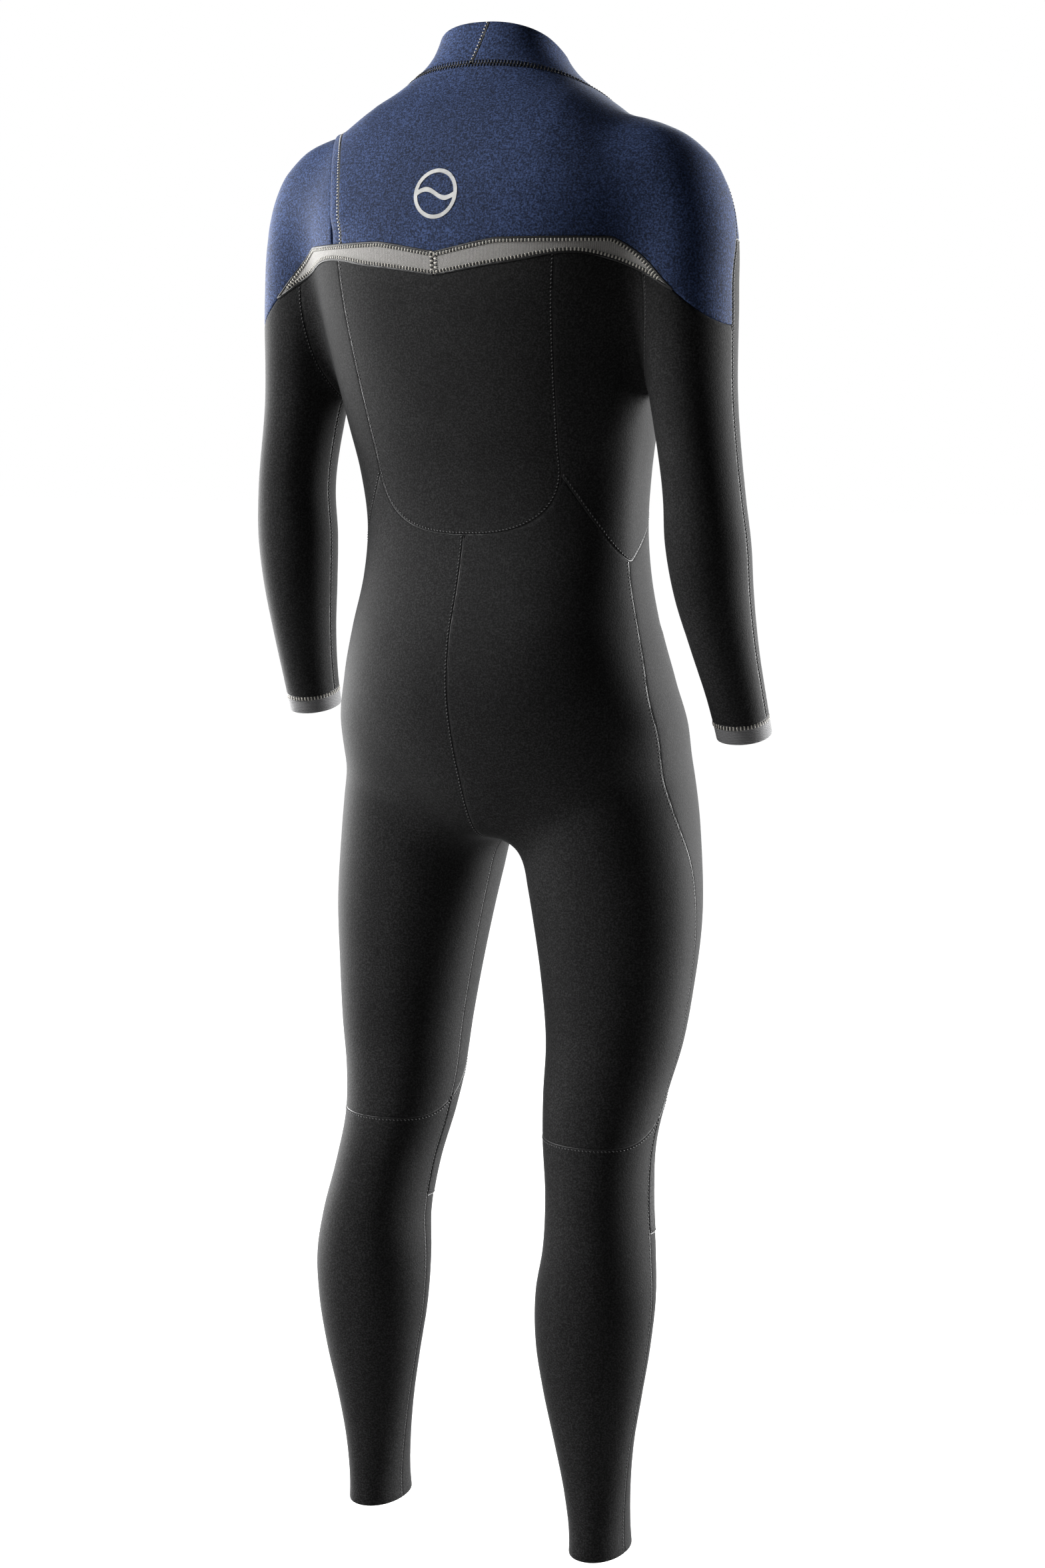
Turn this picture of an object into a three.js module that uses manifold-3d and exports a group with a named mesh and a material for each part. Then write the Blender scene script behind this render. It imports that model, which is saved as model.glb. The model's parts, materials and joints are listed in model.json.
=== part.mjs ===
// Full-length front-entry wetsuit, worn shape, built panel by panel.
// Units are millimetres, +Z is up, the wearer faces -Y and the wearer's left arm is at +X.
// The suit is drafted from the sole of the wearer's foot, then moved so that the middle of
// the neck, where a hanger or the wearer carries it, is the origin.
import * as THREE from "three";
import { mergeVertices } from "three/addons/utils/BufferGeometryUtils.js";
import Module from "manifold-3d";

const wasm = await Module();
wasm.setup();

// ---- driving dimensions -----------------------------------------------------------------
const wearerHeight = 1790;
const chestGirth = 1030;
const wallThickness = 3.6;
const collarThickness = 2.6;
const cuffThickness = 2.6;
const kneeThickness = 4.6;
const collarHeight = 40;
const cuffHeight = 19;
const seamGap = 0.3;
const zipLength = 206;
const zipHeight = 1345;
const zipSlotHeight = 18;
const tapeThickness = 1.4;
const toothPitch = 8;
const toothLength = 3.6;
const toothDepth = 2.4;
const sliderLength = 16;
const sliderWidth = 13;
const sliderTravel = 172;
const pullLength = 34;
const pullWidth = 9;
const barrierThickness = 2;
const badgeWidth = 42;
const badgeThickness = 0.7;
const clearance = 0.3;

// The draft is drawn for a 1790 mm wearer with a 1030 mm chest, and these two scale it.
const tall = wearerHeight / 1790;
const wide = chestGirth / 1030;
// One facet of the skin, across, front to back, and up.
const facet = { x: 28, y: 36, z: 54 };

// ---- body form --------------------------------------------------------------------------
// Each station: height, centre y, half width, depth to the front, depth to the back.
const TRUNK = [
  [770, 50, 50, 42, 32], [800, 40, 112, 86, 64], [840, 30, 158, 110, 92],
  [880, 27, 175, 118, 110], [930, 32, 168, 116, 115], [980, 36, 157, 113, 106],
  [1030, 37, 147, 110, 89], [1080, 39, 144, 109, 76], [1130, 43, 149, 110, 76],
  [1180, 48, 158, 114, 87], [1240, 52, 170, 121, 101], [1300, 54, 182, 128, 112],
  [1350, 54, 192, 126, 114], [1390, 54, 197, 118, 110], [1420, 55, 190, 108, 99],
  [1445, 59, 168, 96, 84], [1470, 62, 134, 82, 66], [1490, 58, 98, 70, 54],
  [1515, 48, 69, 58, 48], [1545, 40, 57, 54, 44], [1600, 32, 53, 50, 42],
];
// Each station: height, centre x, centre y, half width, front depth, back depth.
const ARM = [
  [1462, 160, 60, 6, 6, 6], [1450, 165, 60, 30, 30, 30], [1430, 174, 58, 45, 45, 45],
  [1400, 184, 56, 52, 54, 54], [1350, 195, 55, 53, 56, 56], [1300, 202, 57, 48, 54, 54],
  [1200, 213, 59, 39, 45, 45], [1110, 225, 60, 37, 41, 41], [1070, 227, 56, 39, 41, 41],
  [1020, 230, 48, 36, 39, 39], [970, 235, 34, 31, 34, 34], [920, 240, 16, 27, 30, 30],
  [840, 244, -14, 25, 27, 27],
];
const LEG = [
  [980, 74, 22, 64, 72, 70], [930, 84, 18, 72, 84, 80], [870, 91, 12, 83, 99, 92],
  [820, 95, 14, 88, 103, 86], [760, 105, 18, 84, 97, 79],
  [700, 113, 22, 79, 89, 74], [640, 117, 26, 72, 80, 69], [580, 118, 32, 65, 71, 65],
  [530, 114, 42, 59, 62, 61], [490, 114, 52, 54, 56, 59], [440, 121, 64, 51, 51, 60],
  [390, 127, 75, 54, 47, 61], [350, 127, 82, 59, 43, 59], [300, 126, 87, 57, 40, 53],
  [250, 126, 89, 49, 37, 44], [200, 126, 87, 39, 36, 37], [150, 127, 83, 31, 38, 34],
  [110, 128, 80, 27, 41, 36], [60, 128, 77, 29, 45, 43],
];
// How far each limb's end swings outwards and back from its station, on the two sides.
const SWING = {
  armLeft: [10, -14], armRight: [8, 16], legLeft: [-9, 8], legRight: [13, 20],
};
// The right thigh carries more to the outside and the front, where the wearer's weight is.
const thighFuller = { left: 0, right: 2.5, height: 710, reach: 115 };
const trunkRoundness = 2.3;
const limbRoundness = 2.1;
const armBlend = 28;
const legBlend = 24;
const crotchBlend = 22;

// A smooth curve through rows of [position, value, value...], as a function of position.
function curve(rows) {
  const sorted = [...rows].sort((a, b) => a[0] - b[0]);
  const at = sorted.map((row) => row[0]);
  const last = at.length - 1;
  const slope = sorted.map((row, i) => row.slice(1).map((value, k) => {
    const back = Math.max(i - 1, 0);
    const next = Math.min(i + 1, last);
    if (back === i || next === i) {
      return (sorted[next][k + 1] - sorted[back][k + 1]) / (at[next] - at[back]);
    }
    const before = (value - sorted[back][k + 1]) / (at[i] - at[back]);
    const after = (sorted[next][k + 1] - value) / (at[next] - at[i]);
    const left = at[i] - at[back];
    const right = at[next] - at[i];
    return (before * right + after * left) / (left + right);
  }));
  return (position) => {
    const p = Math.min(Math.max(position, at[0]), at[last]);
    let i = 0;
    while (i < last - 1 && p > at[i + 1]) i += 1;
    const h = at[i + 1] - at[i];
    const t = (p - at[i]) / h;
    const a = sorted[i];
    const b = sorted[i + 1];
    return slope[i].map((m, k) => (2 * t ** 3 - 3 * t ** 2 + 1) * a[k + 1]
      + (t ** 3 - 2 * t ** 2 + t) * h * m
      + (3 * t ** 2 - 2 * t ** 3) * b[k + 1]
      + (t ** 3 - t ** 2) * h * slope[i + 1][k]);
  };
}

const trunkAt = curve(TRUNK);
const armAt = curve(ARM);
const legAt = curve(LEG);

function limbAt(kind, side, z) {
  const arm = kind === "arm";
  const row = arm ? armAt(z) : legAt(z);
  const [out, back] = SWING[kind + (side > 0 ? "Left" : "Right")];
  const top = arm ? 1430 : 870;
  const length = arm ? 550 : 780;
  const u = Math.min(Math.max((top - z) / length, 0), 1.05);
  const share = arm ? 0 : Math.exp(-(((z - thighFuller.height) / thighFuller.reach) ** 2));
  const more = share * thighFuller[side > 0 ? "left" : "right"];
  return [side * (row[0] + u * out + more), row[1] + u * back, row[2] + more, row[3] + more,
    row[4]];
}

// Signed distance, measured level, from a rounded slice: negative inside.
function slice(x, y, [cx, cy, half, front, back], roundness) {
  const dx = x - cx;
  const dy = y - cy;
  const depth = dy < 0 ? front : back;
  const rho = (Math.abs(dx / half) ** roundness + Math.abs(dy / depth) ** roundness)
    ** (1 / roundness);
  const r = Math.hypot(dx, dy);
  return r < 0.001 ? -half : r * (1 - 1 / rho);
}

function blend(a, b, width) {
  const h = Math.max(width - Math.abs(a - b), 0) / width;
  return Math.min(a, b) - h * h * width / 4;
}

// How fast the distance grows past a limb's end, and where the arm's form stops past the wrist.
const endSlope = 0.8;
const handEnd = 820;
// The body in draft coordinates: negative inside, zero on the skin.
function draftBody(x, y, z) {
  let d = slice(x, y, [0, ...trunkAt(z)], trunkRoundness);
  d = Math.max(d, (780 - z) * endSlope);
  for (const side of [1, -1]) {
    const arm = slice(x, y, limbAt("arm", side, z), limbRoundness);
    const ends = Math.max(z - 1460, handEnd - z) * endSlope;
    d = blend(d, Math.max(arm, ends), armBlend);
  }
  const [left, right] = [1, -1].map((side) => Math.max(
    slice(x, y, limbAt("leg", side, z), limbRoundness), (z - 960) * endSlope));
  return blend(d, blend(left, right, crotchBlend), legBlend);
}

const body = (p) => draftBody(p.x / wide, p.y / wide, p.z / tall);

function outward(p) {
  const step = 1;
  const g = new THREE.Vector3();
  for (const axis of ["x", "y", "z"]) {
    const a = p.clone();
    const b = p.clone();
    a[axis] += step;
    b[axis] -= step;
    g[axis] = (body(a) - body(b)) / (2 * step);
  }
  return g;
}

// ---- seams ------------------------------------------------------------------------------
// A seam is a function of draft coordinates: zero on the seam, and about the distance to it
// in millimetres elsewhere, positive on the side that its cut names first.
const line = (rows) => {
  const through = curve(rows);
  return (position) => through(position)[0];
};
const steepness = (slope) => Math.hypot(1, slope);

const neckSlope = 0.42;
const rimSlope = 0.5;
const neckSeam = (x, y, z) => (z - 1510 - neckSlope * (y - 98)) / steepness(neckSlope);
const rim = (x, y, z) => (z - 1510 - collarHeight / tall - rimSlope * (y - 82))
  / steepness(rimSlope);
const collarSeam = (x, y, z) => x + (y > 40 ? 0.25 * (z - 1510) : 0);

const shoulderLine = line([[1250, 62], [1318, 58], [1345, 47], [1380, 36], [1420, 25],
  [1480, 18]]);
const sleeveSeam = (x, y, z) => {
  const side = Math.sign(x) || 1;
  const centre = limbAt("arm", side, z)[1];
  const fade = Math.min(Math.max((z - 1250) / 100, 0), 1);
  return y - (centre * (1 - fade) + shoulderLine(z) * fade);
};
const bandTop = line([[0, 1334], [70, 1346], [145, 1352], [186, 1328], [216, 1298],
  [252, 1268], [310, 1235]]);
const bandWidth = line([[0, 20], [70, 22], [140, 22], [184, 14], [216, 0], [260, -20]]);
const bandBottom = (across) => bandTop(across) - Math.max(bandWidth(across), 0);
const yokeSeam = (x, y, z) => Math.max(
  Math.min((z - bandTop(Math.abs(x))) * 0.9, sleeveSeam(x, y, z)), z - zipHeight);
// Past this far out the band has tapered to nothing.
const bandEnd = 222;
const bandSeam = (x, y, z) => Math.min((z - bandBottom(Math.abs(x))) * 0.9,
  sleeveSeam(x, y, z), bandEnd - Math.abs(x));
const flapLine = (y) => 162 - 0.55 * Math.max(y - 60, 0) - 0.3 * Math.max(60 - y, 0);
const foldWidth = 10;
const flapSeam = (x, y) => (x - flapLine(y)) * 0.87;
const foldEdge = (x, y) => flapSeam(x, y) - foldWidth;
const armholeLine = line([[850, 200], [1050, 192], [1150, 178], [1205, 172], [1240, 181],
  [1285, 187], [1330, 185], [1400, 180]]);
const armhole = (x, y, z) => Math.abs(x) - armholeLine(z);
const wristHeight = 887;
const wristSlope = 0.25;
const wristLine = (x, y, z) => {
  const centre = limbAt("arm", Math.sign(x) || 1, wristHeight)[1];
  return (z - wristHeight + wristSlope * (y - centre)) / steepness(wristSlope);
};
const cuffSeam = (x, y, z) => wristLine(x, y, z) - cuffHeight / tall;
const ankleHeight = 90;
const ankleLine = (x, y, z) => z - ankleHeight;

// The back panel is a long U that ends above the seat.
const backPanel = (x, y, z) => {
  const width = 100 + 0.09 * Math.max(z - 1150, 0);
  const drop = Math.max(1150 - z, 0) / 76;
  const rho = (Math.abs(x / width) ** 2.6 + drop ** 2.6) ** (1 / 2.6);
  return Math.min((1 - rho) * 90, y - 45);
};
// The waist seam falls from the back panel to the hip, then rises round to the front.
const waistSeam = (x, y, z) => {
  const behind = 1149 - 1.8 * (Math.abs(x) - 89) - 3 * Math.max(48 - y, 0);
  const ahead = 1049 + 0.7 * Math.min(48 - y, 90);
  return (z - Math.max(behind, ahead)) / Math.SQRT2;
};
// The front panel stays wider than the zip's slot.
const halfZip = zipLength / 2;
const slotEnd = 3;
const besideSlot = 10.65;
const frontSeam = (x, y, z) => Math.max(
  Math.abs(x) - (halfZip + slotEnd + besideSlot) / wide - 0.05 * (z - zipHeight), y - 40);
const centreSeam = (x) => x;
const hipLine = line([[380, 0], [440, -2], [520, -10], [640, -14], [700, -12], [754, -5],
  [809, 20], [850, 32], [900, 41], [980, 32], [1060, 30]]);
const legSeam = (x, y, z) => {
  const [cx, cy] = limbAt("leg", Math.sign(x) || 1, z);
  const outer = Math.min(Math.max((Math.abs(x) - Math.abs(cx) + 30) / 60, 0), 1);
  return y - cy - hipLine(z) * outer;
};
const kneeSeam = (x, y, z) => {
  const behind = Math.min(y - limbAt("leg", Math.sign(x) || 1, z)[1], 42);
  return z - 494 - 0.0069 * (42 - behind) ** 2;
};
const shinSeam = (x, y, z) => {
  const across = Math.abs(x) - Math.abs(limbAt("leg", Math.sign(x) || 1, z)[0]);
  return z - 392 - 0.006 * across ** 2;
};

// ---- skin -------------------------------------------------------------------------------
// The skin is a net of facets over the whole body. Each corner keeps its place on the
// outside and its place one wall further in.
function makeSkin() {
  const low = new THREE.Vector3(-11 * facet.x, -5 * facet.y, 40);
  const count = { x: 22, y: 13, z: 32 };
  const corner = (i, j, k) => new THREE.Vector3(
    (low.x + i * facet.x) * wide, (low.y + j * facet.y) * wide, (low.z + k * facet.z) * tall);
  const index = (i, j, k) => (k * (count.y + 1) + j) * (count.x + 1) + i;
  const value = new Float64Array((count.x + 1) * (count.y + 1) * (count.z + 1));
  for (let k = 0; k <= count.z; k += 1) {
    for (let j = 0; j <= count.y; j += 1) {
      for (let i = 0; i <= count.x; i += 1) value[index(i, j, k)] = body(corner(i, j, k));
    }
  }
  const at = (i, j, k) => value[index(i, j, k)];
  const cells = new Map();
  const steps = [[1, 0, 0], [0, 1, 0], [0, 0, 1]];
  const cellCorner = (i, j, k) => {
    const key = index(i, j, k);
    if (cells.has(key)) return cells.get(key);
    const sum = new THREE.Vector3();
    let crossings = 0;
    for (const [axis, step] of steps.entries()) {
      for (const [a, b] of [[0, 0], [0, 1], [1, 0], [1, 1]]) {
        const base = [i, j, k];
        base[(axis + 1) % 3] += a;
        base[(axis + 2) % 3] += b;
        const tip = base.map((n, m) => n + step[m]);
        const [v0, v1] = [at(...base), at(...tip)];
        if (v0 < 0 === v1 < 0) continue;
        sum.add(corner(...base).lerp(corner(...tip), v0 / (v0 - v1)));
        crossings += 1;
      }
    }
    const outer = sum.divideScalar(crossings);
    let normal = outward(outer);
    for (let n = 0; n < 6; n += 1) {
      const move = Math.min(Math.max(-body(outer) / normal.lengthSq(), -6), 6);
      outer.addScaledVector(normal, move);
      normal = outward(outer);
    }
    const inner = outer.clone().addScaledVector(normal.normalize(), -wallThickness);
    const made = { outer, inner };
    cells.set(key, made);
    return made;
  };
  const quads = [];
  for (let k = 1; k < count.z; k += 1) {
    for (let j = 1; j < count.y; j += 1) {
      for (let i = 1; i < count.x; i += 1) {
        for (const [axis, step] of steps.entries()) {
          const inside = at(i, j, k) < 0;
          if (inside === at(i + step[0], j + step[1], k + step[2]) < 0) continue;
          const ring = [[0, 0], [-1, 0], [-1, -1], [0, -1]].map(([a, b]) => {
            const cell = [i, j, k];
            cell[(axis + 1) % 3] += a;
            cell[(axis + 2) % 3] += b;
            return cellCorner(...cell);
          });
          quads.push(inside ? ring : ring.reverse());
        }
      }
    }
  }
  return splitQuads(quads);
}

// Splits each quad along its shorter diagonal, unless two corners are joined already.
function splitQuads(quads) {
  const joined = new Map();
  const join = (a, b) => {
    for (const [m, n] of [[a, b], [b, a]]) {
      if (!joined.has(m)) joined.set(m, new Set());
      joined.get(m).add(n);
    }
  };
  for (const [a, b, c, d] of quads) [[a, b], [b, c], [c, d], [d, a]].forEach((e) => join(...e));
  return quads.flatMap(([a, b, c, d]) => {
    const shorter = a.outer.distanceTo(c.outer) < b.outer.distanceTo(d.outer);
    const first = joined.get(b).has(d) || (shorter && !joined.get(a).has(c));
    if (first) {
      join(a, c);
      return [[a, b, c], [a, c, d]];
    }
    join(b, d);
    return [[b, c, d], [b, d, a]];
  });
}

// ---- cutting out ------------------------------------------------------------------------
const seamAt = (seam, p) => seam(p.x / wide, p.y / wide, p.z / tall);

function seamRise(seam, p) {
  const rise = new THREE.Vector3();
  for (const axis of ["x", "y", "z"]) {
    const a = p.clone();
    const b = p.clone();
    a[axis] += 0.5;
    b[axis] -= 0.5;
    rise[axis] = seamAt(seam, a) - seamAt(seam, b);
  }
  return rise;
}

// Keeps the part of the facets where the seam times the sign is more than half a seam gap.
// A hem passes hem = true: its cut is flat right through the wall, and has no gap. A corner
// that lies almost on the cut is moved onto the new edge, which leaves no slivers.
const nearCut = 0.7;
const farthestMove = 1.2;
function keep(facets, seam, sign, hem = false) {
  const room = hem ? 0 : sign * seamGap / 2;
  const measured = new Map();
  const measure = (v) => {
    if (!measured.has(v)) measured.set(v, seamAt(seam, v.outer));
    return measured.get(v);
  };
  // Both ends of a hem corner lie on the hem's flat face.
  const level = (v) => {
    const rise = seamRise(seam, v.outer);
    const flat = (p) => p.clone().addScaledVector(rise, -seamAt(seam, p) / rise.lengthSq());
    return { outer: flat(v.outer), inner: flat(v.inner) };
  };
  const moved = new Map();
  const move = (v) => {
    if (!moved.has(v)) {
      const across = seamRise(seam, v.outer);
      const through = v.outer.clone().sub(v.inner).normalize();
      across.addScaledVector(through, -across.dot(through));
      const way = across.multiplyScalar((room - measure(v)) / across.lengthSq())
        .clampLength(0, farthestMove);
      const beside = { outer: v.outer.clone().add(way), inner: v.inner.clone().add(way) };
      moved.set(v, hem ? level(v) : beside);
    }
    return moved.get(v);
  };
  const side = (v) => (Math.abs(measure(v)) < nearCut ? 0 : Math.sign(measure(v)) * sign);
  const crossings = new Map();
  const cross = (a, b) => {
    if (!crossings.has(a)) crossings.set(a, new Map());
    const known = crossings.get(a);
    if (!known.has(b)) {
      const t = (measure(a) - room) / (measure(a) - measure(b));
      const between = {
        outer: a.outer.clone().lerp(b.outer, t),
        inner: a.inner.clone().lerp(b.inner, t),
      };
      known.set(b, hem ? level(between) : between);
    }
    return known.get(b);
  };
  const kept = [];
  for (const corners of facets) {
    const sides = corners.map(side);
    const inLine = sides.every((at) => at === 0)
      && sign * corners.reduce((sum, v) => sum + measure(v), 0) > 0;
    if (Math.max(...sides) <= 0 && !inLine) continue;
    const ring = [];
    for (let i = 0; i < 3; i += 1) {
      const a = corners[i];
      const b = corners[(i + 1) % 3];
      if (side(a) > 0) ring.push(a);
      if (side(a) === 0) ring.push(move(a));
      if (side(a) > 0 && side(b) < 0) ring.push(cross(a, b));
      if (side(a) < 0 && side(b) > 0) ring.push(cross(b, a));
    }
    for (let i = 2; i < ring.length; i += 1) kept.push([ring[0], ring[i - 1], ring[i]]);
  }
  return kept;
}

// A cut sends what lies on a seam's first side one way and the rest the other.
const cut = (seam, first, second) => ({ seam, first, second });

function cutOut(facets, plan, panels = {}) {
  if (typeof plan === "string") {
    panels[plan] = facets;
    return panels;
  }
  cutOut(keep(facets, plan.seam, 1), plan.first, panels);
  cutOut(keep(facets, plan.seam, -1), plan.second, panels);
  return panels;
}

const sleeve = (side) => cut(cuffSeam,
  cut(sleeveSeam, `sleeve_back_${side}`, `sleeve_front_${side}`), `wrist_cuff_${side}`);
const leg = (side) => cut(kneeSeam,
  cut(legSeam, `seat_and_thigh_${side}`, `thigh_front_${side}`),
  cut(legSeam, `calf_${side}`, cut(shinSeam, `knee_pad_${side}`, `shin_${side}`)));
const pair = (make) => cut(centreSeam, make("left"), make("right"));

const layout = cut(neckSeam,
  cut(collarSeam, "neck_collar_left", "neck_collar_right"),
  cut(yokeSeam,
    cut(flapSeam,
      cut(foldEdge, "left_shoulder", "entry_flap_fold"),
      cut(sleeveSeam, "back_yoke", "entry_flap")),
    cut(bandSeam, pair((side) => `back_band_${side}`),
      cut(armhole, pair(sleeve),
        cut(backPanel, "back_panel",
          cut(waistSeam,
            cut(frontSeam, pair((side) => `side_panel_${side}`), "front_body"),
            pair(leg)))))));

// ---- solids -----------------------------------------------------------------------------
function solid(geometry) {
  const bare = geometry.clone();
  bare.deleteAttribute("normal");
  bare.deleteAttribute("uv");
  const merged = mergeVertices(bare, 1e-3);
  return new wasm.Manifold(new wasm.Mesh({
    numProp: 3,
    vertProperties: new Float32Array(merged.attributes.position.array),
    triVerts: new Uint32Array(merged.index.array),
  }));
}

function toGeometry(manifold) {
  const mesh = manifold.getMesh();
  const geometry = new THREE.BufferGeometry();
  geometry.setAttribute("position", new THREE.Float32BufferAttribute(mesh.vertProperties, 3));
  geometry.setIndex([...mesh.triVerts]);
  return geometry;
}

const rank = (p) => p.z + 0.3 * p.x + 0.2 * p.y;

// Gives facets a wall, from a depth under the skin's outside to a greater depth.
function wall(facets, from, to) {
  const corners = new Map();
  const points = [];
  const number = (v) => {
    if (!corners.has(v)) {
      corners.set(v, corners.size);
      for (const depth of [from, to]) {
        points.push(v.outer.clone().lerp(v.inner, depth / wallThickness));
      }
    }
    return 2 * corners.get(v);
  };
  const index = [];
  const edges = new Set();
  for (const f of facets) {
    const [a, b, c] = f.map(number);
    index.push(a, b, c, a + 1, c + 1, b + 1);
    for (const [m, n] of [[a, b], [b, c], [c, a]]) edges.add(`${m},${n}`);
  }
  for (const edge of edges) {
    const [m, n] = edge.split(",").map(Number);
    if (edges.has(`${n},${m}`)) continue;
    // Both sides of a seam share one diagonal, so that a twisted wall leaves no overlap.
    if (rank(points[m]) < rank(points[n])) index.push(n, m, n + 1, m, m + 1, n + 1);
    else index.push(n, m, m + 1, n, m + 1, n + 1);
  }
  const geometry = new THREE.BufferGeometry().setFromPoints(points);
  geometry.setIndex(index);
  return geometry;
}

const group = new THREE.Group();
const neck = new THREE.Vector3(0, 38 * wide, 1500 * tall);

function add(name, geometry, finish) {
  const placed = geometry.clone().translate(-neck.x, -neck.y, -neck.z);
  placed.computeVertexNormals();
  const mesh = new THREE.Mesh(placed, new THREE.MeshStandardMaterial(finish));
  mesh.name = name;
  group.add(mesh);
  return mesh;
}

const blueJersey = { color: 0x2f3d5e, roughness: 0.85, metalness: 0 };
const blackJersey = { color: 0x242424, roughness: 0.85, metalness: 0 };
const greyTape = { color: 0xa4a29e, roughness: 0.7, metalness: 0 };
const greyCuff = { color: 0x8a8a88, roughness: 0.75, metalness: 0 };
const smoothRubber = { color: 0x17181a, roughness: 0.5, metalness: 0 };
const blackPlastic = { color: 0x18191b, roughness: 0.4, metalness: 0 };
const paleInk = { color: 0x9c9c9a, roughness: 0.5, metalness: 0 };

let skin = makeSkin();
skin = keep(skin, rim, -1, true);
skin = keep(skin, ankleLine, 1, true);
// Only the arms, which hang outside this line, are cut at the wrist.
const besideThigh = 216;
const onlyArms = (x, y, z) => Math.max(wristLine(x, y, z), besideThigh - Math.abs(x));
skin = keep(skin, onlyArms, 1, true);
const panels = cutOut(skin, layout);

// ---- chest zip --------------------------------------------------------------------------
// The zip lies on the arc through the middle and the two ends of its line on the chest.
function chestAt(x) {
  let outside = -400;
  let inside = 0;
  for (let n = 0; n < 40; n += 1) {
    const middle = (outside + inside) / 2;
    if (body(new THREE.Vector3(x, middle, zipHeight * tall)) > 0) outside = middle;
    else inside = middle;
  }
  return outside;
}
const sagitta = chestAt(halfZip) - chestAt(0);
const chestRadius = (halfZip ** 2 + sagitta ** 2) / (2 * sagitta);
const chestCentre = chestAt(0) + chestRadius;
const zipZ = zipHeight * tall;

// Stands a shape drawn flat on the zip: u along it, w outwards and v up from its middle.
function onZip(geometry, u) {
  const angle = u / chestRadius;
  return geometry.rotateZ(angle).translate(
    chestRadius * Math.sin(angle), chestCentre - chestRadius * Math.cos(angle), zipZ);
}
// A block from low to high along u, w and v, set square on the zip at one place.
function zipBlock(at, [u0, u1], [w0, w1], [v0, v1]) {
  const block = new THREE.BoxGeometry(u1 - u0, w1 - w0, v1 - v0);
  block.translate((u0 + u1) / 2, -(w0 + w1) / 2, (v0 + v1) / 2);
  return onZip(block, at);
}
// A strip that follows the chest from one place to another.
const stripSteps = 14;
function zipStrip([u0, u1], [w0, w1], [v0, v1]) {
  const start = u0 / chestRadius - Math.PI / 2;
  const end = u1 / chestRadius - Math.PI / 2;
  const shape = new THREE.Shape();
  shape.absarc(0, 0, chestRadius + w1, start, end, false);
  shape.absarc(0, 0, chestRadius + w0, end, start, true);
  const strip = new THREE.ExtrudeGeometry(shape, {
    depth: v1 - v0, bevelEnabled: false, curveSegments: stripSteps,
  });
  return strip.translate(0, chestCentre, zipZ + v0);
}

const slotReach = 120;
const slotRounding = 4;
const tapeSink = 1.2;
const tapeGap = 1.1;
const beadHeight = 1.6;
const toothReach = 0.8;
const slotHalf = zipSlotHeight / 2;
const slotShape = new THREE.Shape();
const slotSide = halfZip + slotEnd - slotRounding;
const slotFlat = slotHalf - slotRounding;
slotShape.absarc(slotSide, slotFlat, slotRounding, 0, Math.PI / 2);
slotShape.absarc(-slotSide, slotFlat, slotRounding, Math.PI / 2, Math.PI);
slotShape.absarc(-slotSide, -slotFlat, slotRounding, Math.PI, 1.5 * Math.PI);
slotShape.absarc(slotSide, -slotFlat, slotRounding, 1.5 * Math.PI, 2 * Math.PI);
const slot = solid(new THREE.ExtrudeGeometry(slotShape, {
  depth: slotReach, bevelEnabled: false, curveSegments: 4,
}).rotateX(Math.PI / 2).translate(0, chestCentre - chestRadius + slotReach / 2, zipZ));

const tapeTop = -tapeSink + clearance;
const toothTop = tapeTop + toothDepth;
const tapeEnd = halfZip - clearance;
const lastTooth = halfZip - toothPitch;
const beadDrop = 0.4;
const beadInner = tapeGap + 0.6;
for (const [name, side] of [["upper", 1], ["lower", -1]]) {
  const span = (a, b) => (side > 0 ? [a, b] : [-b, -a]);
  add(`zip_tape_${name}`, zipStrip([-tapeEnd, tapeEnd],
    [-tapeSink - tapeThickness, -tapeSink], span(tapeGap, slotHalf - clearance)),
  blackJersey);
  const bead = solid(zipStrip([-lastTooth - 1, lastTooth + 1], [tapeTop, toothTop - beadDrop],
    span(beadInner, beadInner + beadHeight)));
  const teeth = [bead];
  const shift = side > 0 ? 0 : toothPitch / 2;
  for (let u = -lastTooth + toothLength; u < lastTooth - toothPitch; u += toothPitch) {
    teeth.push(solid(zipBlock(u + shift, [-toothLength / 2, toothLength / 2],
      [tapeTop, toothTop], span(-toothReach, beadInner + beadHeight / 2))));
  }
  add(`zip_teeth_${name}`, toGeometry(wasm.Manifold.union(teeth)), blackPlastic);
}
const stopHalf = 1.5;
const stopPlace = halfZip - 4;
const stopHeight = 6.4;
for (const [name, side] of [["closed", -1], ["open", 1]]) {
  add(`zip_stop_${name}_end`, zipBlock(side * stopPlace, [-stopHalf, stopHalf],
    [tapeTop, toothTop], [-stopHeight / 2, stopHeight / 2]), blackPlastic);
}

// The slider rides over the teeth: a cap with a rail down each side, and a bridge on top.
const capBottom = toothTop + clearance;
const capTop = capBottom + 1.6;
const railThickness = 1.4;
const railHalf = sliderWidth / 2;
const railInner = railHalf - railThickness;
const restPlace = -sliderTravel / 2;
const bridgeHalf = 4.6;
const bridgeTop = capTop + 3.4;
const bridgeThickness = 2.6;
const windowHalf = 3;
const windowTop = capTop + 2;
const cap = new THREE.Shape([
  [-railHalf, tapeTop], [railHalf, tapeTop], [railHalf, capTop], [-railHalf, capTop],
].map(([v, w]) => new THREE.Vector2(v, w)));
const capSolid = solid(new THREE.ExtrudeGeometry(cap, { depth: sliderLength,
  bevelEnabled: false }).translate(0, 0, -sliderLength / 2)
  .applyMatrix4(new THREE.Matrix4().set(0, 0, 1, 0, 0, -1, 0, 0, 1, 0, 0, 0, 0, 0, 0, 1)));
const channelDepth = capBottom + 4;
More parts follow.
